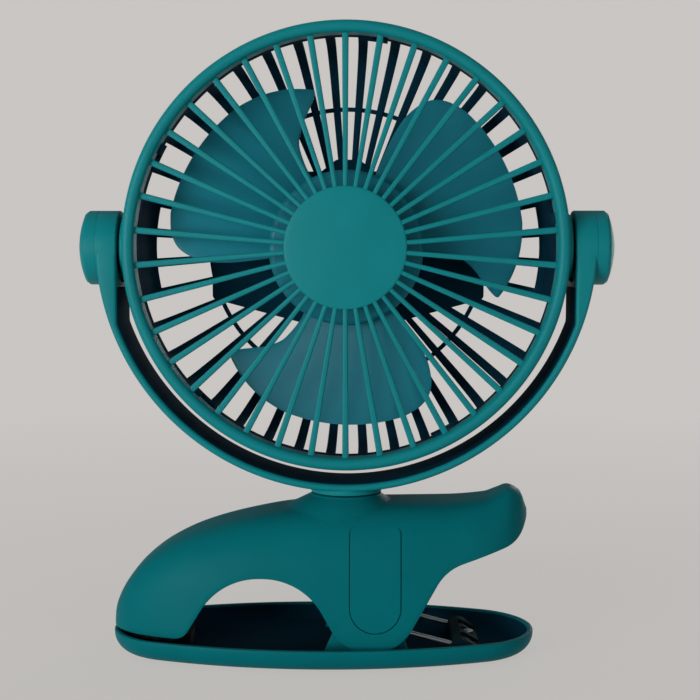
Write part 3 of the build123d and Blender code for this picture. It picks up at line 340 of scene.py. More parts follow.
def along(table, x):
    """A smooth line through (x, y) pairs, read at x."""
    if x <= table[0][0]:
        return table[0][1]
    for i in range(len(table) - 1):
        (x0, y0), (x1, y1) = table[i], table[i + 1]
        if x <= x1:
            break
    else:
        return table[-1][1]

    def slope(k):
        if k in (0, len(table) - 1):
            a, b = (0, 1) if k == 0 else (k - 1, k)
            return (table[b][1] - table[a][1]) / (table[b][0] - table[a][0])
        before = (table[k][1] - table[k - 1][1]) / (table[k][0] - table[k - 1][0])
        after = (table[k + 1][1] - table[k][1]) / (table[k + 1][0] - table[k][0])
        return 0.0 if before * after <= 0 else 2 * before * after / (before + after)
    wide = x1 - x0
    t = (x - x0) / wide
    return ((2 * t ** 3 - 3 * t ** 2 + 1) * y0 + (t ** 3 - 2 * t ** 2 + t) * wide * slope(i)
            + (3 * t ** 2 - 2 * t ** 3) * y1 + (t ** 3 - t ** 2) * wide * slope(i + 1))


def straight_along(points, x):
    """Height of a line of points at x."""
    for a, b in zip(points, points[1:]):
        if a.x <= x <= b.x:
            return a.y + (b.y - a.y) * (x - a.x) / max(b.x - a.x, 1e-9)
    return points[0].y if x < points[0].x else points[-1].y


def clock(angle):
    """Outward and clockwise directions at an angle from the top, seen from the front."""
    a = radians(angle)
    return Vector((sin(a), 0, cos(a))), Vector((cos(a), 0, -sin(a)))


FRONT_AXIS = Vector((0, 1, 0))


class Form:
    """Points and faces that a piece is gathered from."""

    def __init__(self):
        self.points = []
        self.faces = []

    def skin(self, rings, looped=False):
        """Joins closed rings of as many points each, and caps the two ends unless they meet."""
        start, count, rows = len(self.points), len(rings[0]), len(rings)
        for ring in rings:
            self.points += [tuple(point) for point in ring]
        for i in range(rows if looped else rows - 1):
            a = start + i * count
            b = start + (i + 1) % rows * count
            for k in range(count):
                on = (k + 1) % count
                self.faces.append((a + k, a + on, b + on, b + k))
        if not looped:
            self.faces.append(tuple(start + k for k in range(count)))
            self.faces.append(tuple(start + (rows - 1) * count + k for k in range(count)))
        return self

    def lathe(self, profile, steps=180, start=0.0, span=360.0):
        """Turns a closed profile (radius, y) about the head's axis, all round or over a span."""
        whole = span >= 360
        rings = []
        for k in range(steps if whole else steps + 1):
            out, _ = clock(start + span * k / steps)
            rings.append([HEAD + out * p[0] + FRONT_AXIS * p[1] for p in profile])
        return self.skin(rings, looped=whole)

    def lathe_about(self, profile, centre, axis, steps=96):
        """Turns a closed profile (radius, place along the axis) about any axis."""
        side = axis.orthogonal().normalized()
        other = axis.cross(side)
        rings = []
        for k in range(steps):
            a = 2 * pi * k / steps
            out = side * cos(a) + other * sin(a)
            rings.append([centre + out * p[0] + axis * p[1] for p in profile])
        return self.skin(rings, looped=True)

    def slab(self, outline, y0, y1, edge, centre=HEAD):
        """A plate with an outline in X and Z, between two places along Y, its edges rounded."""
        bend = edge * 0.3
        insets = ((edge, y0), (bend, y0 + bend), (0, y0 + edge),
                  (0, y1 - edge), (bend, y1 - bend), (edge, y1))
        return self.skin([[centre + Vector((p.x, y, p.y)) for p in inward(outline, inset)]
                          for inset, y in insets])

    def mesh(self, name):
        """A mesh in metres, its faces turned outwards."""
        mesh = bpy.data.meshes.new(name)
        mesh.from_pydata([Vector(p) * MM for p in self.points], [], self.faces)
        work = bmesh.new()
        work.from_mesh(mesh)
        bmesh.ops.remove_doubles(work, verts=work.verts, dist=1e-7)
        bmesh.ops.recalc_face_normals(work, faces=work.faces)
        work.to_mesh(mesh)
        work.free()
        return mesh


def inward(outline, inset):
    """A closed outline moved inwards, point by point."""
    if not inset:
        return list(outline)
    count = len(outline)
    area = sum(outline[i - 1].x * outline[i].y - outline[i].x * outline[i - 1].y
               for i in range(count))
    side = 1 if area > 0 else -1
    moved = []
    for i, here in enumerate(outline):
        before = (here - outline[i - 1]).normalized()
        after = (outline[(i + 1) % count] - here).normalized()
        way = (before + after).normalized()
        moved.append(here + Vector((-way.y, way.x)) * side * inset)
    return moved


def add_piece(name, form, body, slot, replaced=(), sharp=40.0, cutters=(), bends=None):
    """Makes a named piece of the object from a form and ties it to its body.

    A piece given bends is kept where it stands in the world and tied to no body.
    """
    mesh = form.mesh(name)
    piece = bpy.data.objects.new(name, mesh)
    bpy.context.scene.collection.objects.link(piece)
    if cutters:
        cut_away(piece, cutters)
    piece.data.shade_smooth()
    piece.data.set_sharp_from_angle(angle=radians(sharp))
    piece.data.materials.clear()
    piece.data.materials.append(FINISHES[slot])
    if bends:
        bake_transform(piece)
    else:
        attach(piece, body)
    if replaced:
        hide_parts(*replaced)


def cut_away(piece, cutters):
    """Cuts closed forms out of a piece."""
    for form in cutters:
        tool = bpy.data.objects.new("cutter", form.mesh("cutter"))
        bpy.context.scene.collection.objects.link(tool)
        cut = piece.modifiers.new("cut", "BOOLEAN")
        cut.operation = "DIFFERENCE"
        cut.solver = "MANIFOLD"
        cut.object = tool
        graph = bpy.context.evaluated_depsgraph_get()
        made = bpy.data.meshes.new_from_object(piece.evaluated_get(graph))
        piece.modifiers.clear()
        piece.data = made
        bpy.data.objects.remove(tool)


# ---- shader work ----
class Net:
    """The nodes and links of one shader."""

    def __init__(self, tree):
        self.nodes, self.links = tree.nodes, tree.links

    def feed(self, node, inputs):
        """Sets a node's inputs to plain values or links them to sockets."""
        for label, value in dict(inputs).items():
            if isinstance(value, bpy.types.NodeSocket):
                self.links.new(value, node.inputs[label])
            else:
                node.inputs[label].default_value = value

    def add(self, kind, inputs=(), **settings):
        """Adds a node with its settings and inputs, and gives its outputs."""
        node = self.nodes.new("ShaderNode" + kind)
        for name, value in settings.items():
            setattr(node, name, value)
        self.feed(node, inputs)
        return node.outputs

    def effect(self, key, **values):
        """Adds a shared effect."""
        inputs = {label.replace("_", " "): value for label, value in values.items()}
        return self.add("Group", inputs, node_tree=EFFECTS[key])

    def math(self, operation, *values):
        return self.add("Math", enumerate(values), operation=operation)[0]

    def spread(self, value, low=0.0, high=1.0, from_low=0.3, from_high=0.7):
        """Maps a value to a range."""
        return self.add("MapRange", {"Value": value, "From Min": from_low, "From Max": from_high,
                                     "To Min": low, "To Max": high})["Result"]

    def mix(self, mask, *colours):
        """Mixes two colours by a mask. Each is a socket or three numbers."""
        first, second = (colour if isinstance(colour, bpy.types.NodeSocket) else colour4(colour)
                         for colour in colours)
        return self.add("Mix", {"Factor": mask, 6: first, 7: second}, data_type="RGBA")[2]

    def bump(self, height, depth, strength):
        return self.add("Bump", {"Strength": strength, "Distance": depth,
                                 "Height": height})["Normal"]


def colour4(colour):
    return (*colour, 1.0)


def shaded(colour, factor):
    return tuple(channel * factor for channel in colour)


# ---- shared effects ----
def moulded_grain(net, given):
    """The fine texture and the faint flow of colour of moulded plastic."""
    place = net.add("TexCoord")["Object"]
    grain = net.add("TexNoise", {"Vector": place, "Scale": given["Grain Scale"], "Detail": 3.0,
                                 "Roughness": 0.6})["Fac"]
    flow = net.add("TexNoise", {"Vector": place, "Scale": given["Flow Scale"],
                                "Detail": 2.0})["Fac"]
    pits = net.add("TexVoronoi", {"Vector": place, "Scale": given["Grain Scale"]},
                   feature="SMOOTH_F1")["Distance"]
    return net.math("MULTIPLY_ADD", pits, 0.6, grain), flow, grain


def edge_rub(net, given):
    """Where outer edges have been rubbed a little paler."""
    edge = net.spread(net.add("NewGeometry")["Pointiness"], from_low=0.52, from_high=0.62)
    patchy = net.add("TexNoise", {"Vector": net.add("TexCoord")["Object"], "Scale": 300.0})["Fac"]
    return [net.math("MULTIPLY", net.math("MULTIPLY", edge, patchy), given["Amount"])]


def settled_dust(net, given):
    """Fine dust on what faces up."""
    place = net.add("TexCoord")
    up = net.add("SeparateXYZ", {"Vector": place["Normal"]})["Z"]
    facing = net.spread(up, from_low=0.55, from_high=1.0)
    specks = net.add("TexNoise", {"Vector": place["Object"], "Scale": 900.0, "Detail": 4.0})["Fac"]
    clump = net.spread(specks, from_low=0.45, from_high=0.75)
    return [net.math("MULTIPLY", net.math("MULTIPLY", facing, clump), given["Amount"])]


def shared_effect(make, inputs, outputs):
    """A node group that takes numbers and gives numbers, filled by the function make."""
    group = bpy.data.node_groups.new(make.__name__, "ShaderNodeTree")
    for label, value in inputs.items():
        socket = group.interface.new_socket(label, in_out="INPUT", socket_type="NodeSocketFloat")
        socket.default_value = value
    for label in outputs:
        group.interface.new_socket(label, in_out="OUTPUT", socket_type="NodeSocketFloat")
    net = Net(group)
    found = make(net, net.nodes.new("NodeGroupInput").outputs)
    net.feed(net.nodes.new("NodeGroupOutput"), zip(outputs, found))
    return group


EFFECTS = {
    "grain": shared_effect(moulded_grain, {"Grain Scale": 2600.0, "Flow Scale": 45.0},
                           ("Height", "Flow", "Fine")),
    "rub": shared_effect(edge_rub, {"Amount": 1.0}, ("Mask",)),
    "dust": shared_effect(settled_dust, {"Amount": 1.0}, ("Mask",)),
}


# ---- finishes ----
def start_material(name):
    """A new material, its net and its main shader."""
    material = bpy.data.materials.new(name)
    material.use_nodes = True
    net = Net(material.node_tree)
    return material, net, net.nodes["Principled BSDF"]


def moulded_plastic(name, colour, roughness, grain=0.25, rub=0.08, dust=0.05, shine=0.16):
    """Satin injection-moulded plastic with fine grain, faint flow marks, rubbed edges and dust."""
    material, net, shader = start_material(name)
    texture = net.effect("grain", Grain_Scale=2600.0)
    tone = net.mix(net.spread(texture["Flow"]), shaded(colour, 0.95), shaded(colour, 1.05))
    paler = tuple(channel * 0.9 + 0.06 for channel in colour)
    worn = net.mix(net.effect("rub", Amount=rub)["Mask"], tone, paler)
    net.feed(shader, {
        "Base Color": net.mix(net.effect("dust", Amount=dust)["Mask"], worn, DUST_ON_PLASTIC),
        "Roughness": net.spread(texture["Fine"], roughness - 0.05, roughness + 0.06),
        "Specular IOR Level": shine,
        "Normal": net.bump(texture["Height"], 0.00012, grain),
    })
    return material


def soft_rubber(name, colour):
    """Matt rubber with a coarser grain and dust."""
    material, net, shader = start_material(name)
    texture = net.effect("grain", Grain_Scale=1800.0)
    tone = net.mix(net.spread(texture["Flow"]), shaded(colour, 0.8), shaded(colour, 1.3))
    net.feed(shader, {
        "Base Color": net.mix(net.effect("dust", Amount=0.05)["Mask"], tone, DUST_ON_RUBBER),
        "Roughness": net.spread(texture["Fine"], 0.7, 0.9),
        "Specular IOR Level": 0.1,
        "Normal": net.bump(texture["Height"], 0.0002, 0.4),
    })
    return material


def plated_metal(name, colour, roughness, draw_scale=(60.0, 1500.0, 1500.0)):
    """Drawn or turned metal with fine lines along one way and faint stains."""
    material, net, shader = start_material(name)
    drawn = net.add("Mapping", {"Vector": net.add("TexCoord")["Object"], "Scale": draw_scale})
    lines = net.add("TexNoise", {"Vector": drawn["Vector"], "Scale": 1.0, "Detail": 3.0})["Fac"]
    texture = net.effect("grain", Grain_Scale=900.0, Flow_Scale=120.0)
    net.feed(shader, {
        "Base Color": net.mix(net.spread(texture["Flow"]), shaded(colour, 0.85), colour),
        "Roughness": net.spread(lines, roughness - 0.04, roughness + 0.06),
        "Metallic": 1.0,
        "Normal": net.bump(lines, 0.00002, 0.1),
    })
    return material


def board_coating(name):
    """Green solder mask over copper tracks."""
    material, net, shader = start_material(name)
    turned = net.add("Mapping", {"Vector": net.add("TexCoord")["Object"],
                                 "Rotation": (radians(90), 0, 0)})
    tracks = net.add("TexBrick", {
        "Vector": turned["Vector"], "Scale": 420.0, "Mortar Size": 0.08,
        "Color1": (0.012, 0.12, 0.05, 1.0), "Color2": (0.016, 0.15, 0.06, 1.0),
        "Mortar": (0.03, 0.24, 0.1, 1.0)})
    texture = net.effect("grain", Grain_Scale=1500.0)
    net.feed(shader, {
        "Base Color": tracks["Color"],
        "Roughness": net.spread(texture["Fine"], 0.28, 0.4),
        "Normal": net.bump(tracks["Fac"], 0.00005, 0.5),
    })
    return material


DUST_ON_PLASTIC = (0.35, 0.34, 0.32)
DUST_ON_RUBBER = (0.2, 0.2, 0.19)
FINISHES = {
    "bright_teal": moulded_plastic("bright_teal_plastic", (0.001, 0.225, 0.245), 0.46, dust=0.03),
    "deep_teal": moulded_plastic("deep_teal_plastic", (0.0, 0.155, 0.175), 0.5, dust=0.02,
                                 shine=0.05),
    "blade_blue": moulded_plastic("blade_blue_plastic", (0.008, 0.205, 0.27), 0.42, grain=0.12,
                                  dust=0.03),
    # dark_navy is painted shade: a darkened, bluer copy of the teal plastic, for parts that sit in shade
    "dark_navy": moulded_plastic("navy_painted_shade_plastic", (0.004, 0.034, 0.06), 0.65, grain=0.35,
                                 rub=0.04, dust=0.015, shine=0.004),
    "rubber": soft_rubber("black_rubber", (0.005, 0.006, 0.009)),
    "steel": plated_metal("plated_steel", (0.5, 0.52, 0.52), 0.34),
    "bronze": plated_metal("bush_bronze", (0.55, 0.36, 0.17), 0.4),
    "iron": plated_metal("core_iron", (0.16, 0.16, 0.17), 0.5),
    "board_green": board_coating("board_coating"),
    "cell_film": plated_metal("cell_film", (0.6, 0.62, 0.65), 0.4, (300.0, 300.0, 900.0)),
    "nylon": moulded_plastic("dark_nylon", (0.004, 0.02, 0.026), 0.6, grain=0.2, rub=0.03,
                             dust=0.015, shine=0.01),
    "lens": moulded_plastic("clear_lens_plastic", (0.62, 0.68, 0.64), 0.15, grain=0.05, rub=0.0),
    "lead_cover": soft_rubber("lead_cover", (0.2, 0.012, 0.01)),
}


def dress_cad_nodes():
    """Gives every node of the frame the finish of its slot."""
    for part in frame["record"]["subparts"]:
        node = frame["nodes"][part["node"]]
        node.data.materials.clear()
        node.data.materials.append(FINISHES[part["material_slot"]])


# ---- head ----
def tab_angles():
    return [TAB_FIRST + 360 / TABS * k for k in range(TABS)]


def front_guard():
    """The front ring, its spokes and the domed cap in the middle."""
    form = Form()
    inner = RING_RADIUS - RING_BAND
    front = SEAM - RING_DEPTH
    form.lathe(rounded([(inner, front, RING_ROUND), (RING_RADIUS, front, RING_ROUND),
                        (RING_RADIUS, SEAM, RING_EDGE), (inner, SEAM, RING_EDGE)], steps=8),
               steps=240)
    edge = CAP_FRONT + CAP_DOME
    dome = [Vector((CAP_RADIUS * k / 8, CAP_FRONT + CAP_DOME * (k / 8) ** 2)) for k in range(8)]
    back = CAP_FRONT + CAP_THICK
    rim = rounded([(0, edge, 0), (CAP_RADIUS, edge, CAP_EDGE), (CAP_RADIUS, back, CAP_EDGE / 2),
                   (0, back, 0)], closed=False, steps=4)[1:]
    form.lathe(dome + rim, steps=120)
    side = edge + SPOKE_BACK
    # Both ends of a spoke: distance from the axis, place along Y, depth and width
    ends = ((CAP_RADIUS - SPOKE_ROOT, side, SPOKE_DEPTH - SPOKE_TAPER, SPOKE_CAP_WIDTH),
            (inner + RING_BAND / 2, side + SPOKE_LEAN, SPOKE_DEPTH, SPOKE_RING_WIDTH))
    for k in range(SPOKES):
        out, turn = clock(360 * k / SPOKES)
        rings = []
        for r, y, depth, width in ends:
            section = rounded_rect(-width / 2, width / 2, y, y + depth, BAR_ROUND)
            rings.append([HEAD + out * r + turn * p.x + FRONT_AXIS * p.y for p in section])
        form.skin(rings)
    add_piece("front_guard", form, "guard", "bright_teal", ["front_grille"])


def guard_tabs():
    """Tabs behind the front guard, which turn in behind the lugs of the cage."""
    form = Form()
    inner, back = TAB_OUTER - TAB_THICK, SEAM + TAB_REACH
    for angle in tab_angles():
        form.lathe(rounded_rect(inner, TAB_OUTER, SEAM - TAB_ROOT, back, TAB_EDGE), steps=4,
                   start=angle + TOE_SPAN - TAB_LEG, span=TAB_LEG)
        form.lathe(rounded_rect(inner, TAB_OUTER, back - TOE_DEPTH, back, TAB_EDGE), steps=8,
                   start=angle, span=TOE_SPAN)
    # The tabs get the dark navy finish as painted shade; they are of the guard's teal plastic.
    add_piece("guard_tabs", form, "guard", "dark_navy")


def bowl_lines():
    """Outside and inside of the rear bowl's wall, as radius and y."""
    inner, inner_back = RIM_RADIUS - RIM_BAND, BOWL_BACK - BOWL_DEPTH
    outside = rounded([(RIM_RADIUS - BOWL_TUCK, 0.0, 0),
                       (RIM_RADIUS - BOWL_TAPER, BOWL_BACK - BOWL_DISH, BOWL_ROUND),
                       (BOWL_INNER, BOWL_BACK - BOWL_TUCK, 0)], closed=False, steps=10)
    inside = rounded([(inner + BOWL_TUCK, 0.0, 0),
                      (inner - BOWL_TAPER, inner_back - BOWL_DISH, BOWL_ROUND - BOWL_DEPTH),
                      (BOWL_INNER, inner_back + BOWL_TUCK, 0)], closed=False, steps=10)
    return outside, inside


def rear_guard():
    """The cage: rim, ribs, the ring across them, closed sides and the lugs for the tabs."""
    form = Form()
    form.lathe(rounded_rect(RIM_RADIUS - RIM_BAND, RIM_RADIUS, RIM_FRONT, RIM_BACK, RIM_EDGE),
               steps=240)
    outside, inside = bowl_lines()
    for k in range(RIBS):
        out, turn = clock(360 * (k + 0.5) / RIBS)
        rings = []
        for a, b in zip(outside, inside):
            middle, wall = (a + b) / 2, a - b
            thick = wall.length
            wall.normalize()
            out_share = (middle.x - BOWL_INNER) / (RIM_RADIUS - BOWL_INNER)
            half = (RIB_WIDTH + (RIB_RIM_WIDTH - RIB_WIDTH) * out_share) / 2
            section = rounded_rect(-thick / 2, thick / 2, -half, half, BAR_ROUND, 2)
            rings.append([HEAD + out * (middle.x + wall.x * p.x)
                          + FRONT_AXIS * (middle.y + wall.y * p.x) + turn * p.y for p in section])
        form.skin(rings)
    mid_y = BOWL_BACK - BOWL_DEPTH / 2 - MID_RING_SUNK
    half_band = MID_RING_BAND / 2
    form.lathe(rounded_rect(MID_RING_RADIUS - half_band, MID_RING_RADIUS + half_band,
                            mid_y - MID_RING_HALF_DEPTH, mid_y + MID_RING_HALF_DEPTH, RIM_EDGE))
    closed_in = [p for p in zip(outside, inside) if p[0].x > RIM_RADIUS - SIDE_CLOSED_EDGE]
    wall = [a for a, _ in closed_in] + [b for _, b in reversed(closed_in)]
    half_span = SIDE_CLOSED_RIBS * 360 / RIBS
    for middle in (90, 270):
        form.lathe(wall, steps=24, start=middle - half_span, span=2 * half_span)
    back = SEAM + TAB_REACH - TOE_DEPTH - LUG_TOE_GAP
    lug = rounded_rect(TAB_OUTER - TAB_THICK + LUG_SHORT, RIM_RADIUS - RIM_BAND / 2,
                       back - LUG_DEPTH, back, TAB_EDGE)
    for angle in tab_angles():
        start = angle + TOE_SPAN - TAB_LEG - LUG_LEG_GAP - LUG_SPAN
        form.lathe(lug, steps=6, start=start, span=LUG_SPAN)
    # The cage gets the dark navy finish as painted shade: it is the head's teal plastic, lying in shade.
    add_piece("rear_guard_cage", form, "head", "dark_navy", ["rear_grille"])


def rear_plate():
    """Plate across the back of the cage, which carries the motor."""
    right = [(x, z, PLATE_ROUND) for x, z in PLATE_CORNERS]
    left = [(-x, z, PLATE_ROUND) for x, z in reversed(PLATE_CORNERS)]
    outline = rounded(right + left, steps=4)
    form = Form().slab(outline, PLATE_BACK - PLATE_THICK, PLATE_BACK, PLATE_EDGE)
    # The plate gets the dark navy finish as painted shade: it is the head's teal plastic, lying in shade.
    add_piece("rear_plate", form, "head", "dark_navy")


def pivot_bosses():
    """Boss and axle at both sides of the cage. A boss's root stops short of the front ring."""
    form = Form()
    root = [(max(y, BOSS_FRONT), z) for y, z in circle(BOSS_RADIUS, 72)]
    for s in (-1, 1):
        axis = Vector((s, 0, 0))
        profile = rounded([(0, BOSS_START, 0), (BOSS_RADIUS, BOSS_START, 0),
                           (BOSS_RADIUS, BOSS_FACE, BOSS_EDGE), (0, BOSS_FACE, 0)], steps=6)
        form.lathe_about(profile, HEAD, axis)
        form.skin([[HEAD + Vector((s * x, y, z)) for y, z in root]
                   for x in (BOSS_ROOT, BOSS_START)])
        axle = [(0, BOSS_FACE), (AXLE_RADIUS, BOSS_FACE), (AXLE_RADIUS, EYE_FACE), (0, EYE_FACE)]
        form.lathe_about([Vector(p) for p in axle], HEAD, axis, 48)
    add_piece("pivot_bosses", form, "head", "bright_teal")


# ---- fork ----
def fork_inside(angle):
    """Distance from the fork's middle to its inside: an arc with straight ends up to the eyes."""
    return min(FORK_INNER, EYE_INNER / max(abs(cos(angle)), 1e-3))


def fork():
    """The fork's band, an eye at both its ends and the neck below."""
    form = Form()
    rings = []
    steps = 240
    rise = asin((FORK_MIDDLE.z - HEAD.z) / FORK_OUTER)
    for k in range(steps + 1):
        angle = rise + (pi - 2 * rise) * k / steps
        out = Vector((cos(angle), 0, -sin(angle)))
        section = rounded_rect(fork_inside(angle), FORK_OUTER, -FORK_HALF, FORK_HALF, FORK_EDGE, 5)
        rings.append([FORK_MIDDLE + out * p.x + FRONT_AXIS * p.y for p in section])
    form.skin(rings)
    for s in (-1, 1):
        profile = rounded([(0, EYE_INNER, 0), (EYE_RADIUS, EYE_INNER, EYE_INNER_EDGE),
                           (EYE_RADIUS, EYE_FACE, EYE_FACE_EDGE), (0, EYE_FACE, 0)], steps=4)
        form.lathe_about(profile, HEAD, Vector((s, 0, 0)))
    seat = joint_place("fork_swivel").z
    top = FORK_MIDDLE.z - FORK_OUTER + NECK_SUNK
    neck = rounded([(0, seat, 0), (NECK_RADIUS, seat, NECK_EDGE), (NECK_RADIUS, top, 0),
                    (0, top, 0)], steps=3)
    form.lathe_about(neck, Vector((0, 0, 0)), Vector((0, 0, 1)))
    add_piece("fork_band", form, "fork", "bright_teal", ["fork_arm"])


def fork_painted_shade():
    """Dark sheet on the fork's inside: painted shade over its teal."""
    half = FORK_HALF - FORK_SHADE_MARGIN
    rings = []
    steps = 200
    for k in range(steps + 1):
        angle = radians(FORK_SHADE_START + (180 - 2 * FORK_SHADE_START) * k / steps)
        out = Vector((cos(angle), 0, -sin(angle)))
        inside = fork_inside(angle)
        section = rounded_rect(inside - FORK_SHADE_PROUD, inside + FORK_SHADE_SUNK, -half, half,
                               FORK_SHADE_EDGE, 2)
        rings.append([FORK_MIDDLE + out * p.x + FRONT_AXIS * p.y for p in section])
    form = Form().skin(rings)
    # The dark navy here is painted shade on the fork's teal inside.
    add_piece("fork_painted_shade", form, "fork", "dark_navy")


def pivot_cap(side, node):
    """Domed cap over a pivot, with a rounded edge."""
    s = 1 if side == "right" else -1
    base = EYE_FACE + PIVOT_CAP_GAP
    rim = base + PIVOT_CAP_HEIGHT - PIVOT_CAP_DOME
    top = base + PIVOT_CAP_HEIGHT
    dome = (EYE_RADIUS ** 2 + PIVOT_CAP_DOME ** 2) / (2 * PIVOT_CAP_DOME)
    edge = PIVOT_CAP_EDGE
    profile = [Vector((0, base)), Vector((EYE_RADIUS, base))]
    profile += [Vector((EYE_RADIUS - edge * (1 - cos(a)), rim - edge + edge * sin(a)))
                for a in (radians(12 * k) for k in range(6))]
    lean = asin((EYE_RADIUS - edge * 0.7) / dome)
    profile += [Vector((dome * sin(a), top - dome + dome * cos(a)))
                for a in (lean * (1 - k / 12) for k in range(13))]
    form = Form().lathe_about(profile, HEAD, Vector((s, 0, 0)))
    add_piece("pivot_cap_" + side, form, "fork", "bright_teal", [node])


# ---- rotor ----
def blade_rings(turn):
    """Sections of one blade from its root to its tip, each a thin closed loop."""
    rings = []
    rows, columns = 34, 26
    first = min(angle for _, angle in TRAILING_EDGE) - BLADE_MARGIN
    last = max(angle for _, angle in LEADING_EDGE) + BLADE_MARGIN
    for i in range(rows + 1):
        reach = sin(pi / 2 * i / rows)
        share = BLADE_ROOT + (1 - BLADE_ROOT) * reach
        start, end = along(TRAILING_EDGE, share), along(LEADING_EDGE, share)
        upper, lower = [], []
        for k in range(columns + 1):
            t = (1 - cos(pi * k / columns)) / 2
            angle = start + (end - start) * t
            y = BLADE_FRONT + BLADE_SWEEP * (angle - first) / (last - first)
            thin = (1 - (2 * t - 1) ** 8) ** 0.5
            half = (BLADE_THICK / 2 * (EDGE_SHARE + (1 - EDGE_SHARE) * thin)
                    * (1 - TIP_THINNING * reach ** 6))
            out, _ = clock(angle + turn)
            middle = HEAD + out * share * BLADE_TIP + FRONT_AXIS * (y + BLADE_THICK / 2)
            upper.append(middle - FRONT_AXIS * half)
            lower.append(middle + FRONT_AXIS * half)
        rings.append(upper + lower[::-1])
    return rings


def blades():
    """The blades, their hub and the boss on the shaft."""
    form = Form()
    for k in range(BLADES):
        form.skin(blade_rings(360 / BLADES * k))
    back, inside = HUB_FRONT + HUB_DEPTH, HUB_FRONT + HUB_WALL
    hub = rounded([(0, HUB_FRONT, 0), (HUB_RADIUS, HUB_FRONT, HUB_ROUND),
                   (HUB_RADIUS, back, HUB_EDGE), (HUB_RADIUS - HUB_WALL, back, HUB_EDGE),
                   (HUB_RADIUS - HUB_WALL, inside, HUB_INNER_ROUND), (0, inside, 0)], steps=5)
    form.lathe(hub, steps=120)
    boss = [(SHAFT_RADIUS, HUB_BOSS_FRONT), (HUB_BOSS_RADIUS, HUB_BOSS_FRONT),
            (HUB_BOSS_RADIUS, HUB_BOSS_BACK), (SHAFT_RADIUS, HUB_BOSS_BACK)]
    form.lathe(boss, steps=48)
    add_piece("blades_and_hub", form, "rotor", "blade_blue", ["blade_rotor"])


# ---- upper jaw ----
def plan_share(x):
    """The jaw's width at a place along it, as a share of its full width."""
    middle = (NOSE_X + LEVER_X) / 2
    t = min(abs(x - middle) / ((LEVER_X - NOSE_X) / 2), 1.0)
    power = NOSE_PLAN_POWER if x < middle else LEVER_PLAN_POWER
    return (1 - t ** power) ** (1 / PLAN_ROOT)


def share_at(x):
    return (x - NOSE_X) / (LEVER_X - NOSE_X)


def jaw_top(x):
    return along(JAW_TOP_LINE, share_at(x))


def lobe_tip():
    """Where the two lines that touch the lobe on its left and right would meet below it."""
    left, right = (PIN.x - ARCH_RIGHT_RUN, ARCH_TOP), LEVER_ROOT
    lines = []
    for place, turn in ((left, -1), (right, 1)):
        dx, dz = PIN.x - place[0], PIN.z - place[1]
        away = atan2(dz, dx) + turn * asin(LOBE_RADIUS / hypot(dx, dz))
        lines.append((place, (cos(away), sin(away))))
    (ax, az), (ux, uz) = lines[0]
    (bx, bz), (vx, vz) = lines[1]
    reach = ((bx - ax) * vz - (bz - az) * vx) / (ux * vz - uz * vx)
    return ax + reach * ux, az + reach * uz


def underside():
    """The jaw's lower edge from the nose to the lever's end, seen from the front."""
    inner = NOSE_X + NOSE_LENGTH
    corners = [(NOSE_X - NOSE_LENGTH, NOSE_BOTTOM, 0), (inner, NOSE_BOTTOM, NOSE_ROUND),
               (inner + ARCH_LEFT_RUN, ARCH_TOP, ARCH_LEFT_ROUND),
               (PIN.x - ARCH_RIGHT_RUN, ARCH_TOP, ARCH_RIGHT_ROUND),
               (*lobe_tip(), LOBE_RADIUS), (*LEVER_ROOT, LEVER_ROOT_ROUND),
               (*LEVER_CORNER, LEVER_CORNER_ROUND), (*LEVER_TIP, LEVER_TIP_ROUND),
               (LEVER_TIP[0], LEVER_END_Z, 0)]
    return rounded(corners, closed=False, steps=16)


UNDERSIDE = underside()


def side_y(x, z):
    """Half the jaw's width at a place on its side."""
    up = min((z - JAW_OPEN_Z) / (jaw_top(x) - JAW_OPEN_Z), 1.0)
    return JAW_HALF * plan_share(x) * (1 - up ** CROSS_POWER) ** (1 / CROSS_POWER)


def jaw_half_ring(x_true, inset):
    """One cross-section from the front lower edge over the crown to the rear lower edge."""
    share = share_at(x_true)
    x = NOSE_X + inset + share * (LEVER_X - NOSE_X - 2 * inset)
    half = (JAW_HALF - inset) * plan_share(x_true)
    height = max(jaw_top(x_true) - inset - JAW_OPEN_Z, LEAST_HEIGHT)
    low = min((straight_along(UNDERSIDE, x) - JAW_OPEN_Z) / height, LOW_LIMIT)
    start = atan2(low, (1 - low ** CROSS_POWER) ** (1 / CROSS_POWER))
    ring = []
    for k in range(JAW_STEPS + 1):
        angle = start + (pi - 2 * start) * k / JAW_STEPS
        c, s = cos(angle), sin(angle)
        size = (abs(c) ** CROSS_POWER + abs(s) ** CROSS_POWER) ** (-1 / CROSS_POWER)
        ring.append(Vector((x, -half * c * size, JAW_OPEN_Z + height * s * size)))
    return ring


def jaw_stations():
    """Places along the jaw: close together at its ends and wherever its lower edge bends."""
    fine = [NOSE_X + (LEVER_X - NOSE_X) * (1 - cos(pi * k / JAW_STATIONS)) / 2
            for k in range(1, JAW_STATIONS)]
    bends = [p.x for p in UNDERSIDE if NOSE_X < p.x < LEVER_X - JAW_END]
    kept = [NOSE_X + JAW_END]
    for x in sorted(fine + bends):
        if x - kept[-1] > STATION_GAP:
            kept.append(x)
    return kept


def cover_rows(grow, top_grow):
    """Half widths of the side cover at heights from its round foot to its top."""
    top, half, corner = COVER_TOP + top_grow, COVER_HALF + grow, COVER_CORNER + grow
    rows = [(PIN.z - half * cos(a), half * sin(a)) for a in quarter(16, 1)]
    rows += [(PIN.z + (top - corner - PIN.z) * k / 20, half) for k in range(1, 21)]
    rows += [(top - corner + corner * sin(a), half - corner + corner * cos(a))
             for a in quarter(6, 1)]
    return rows


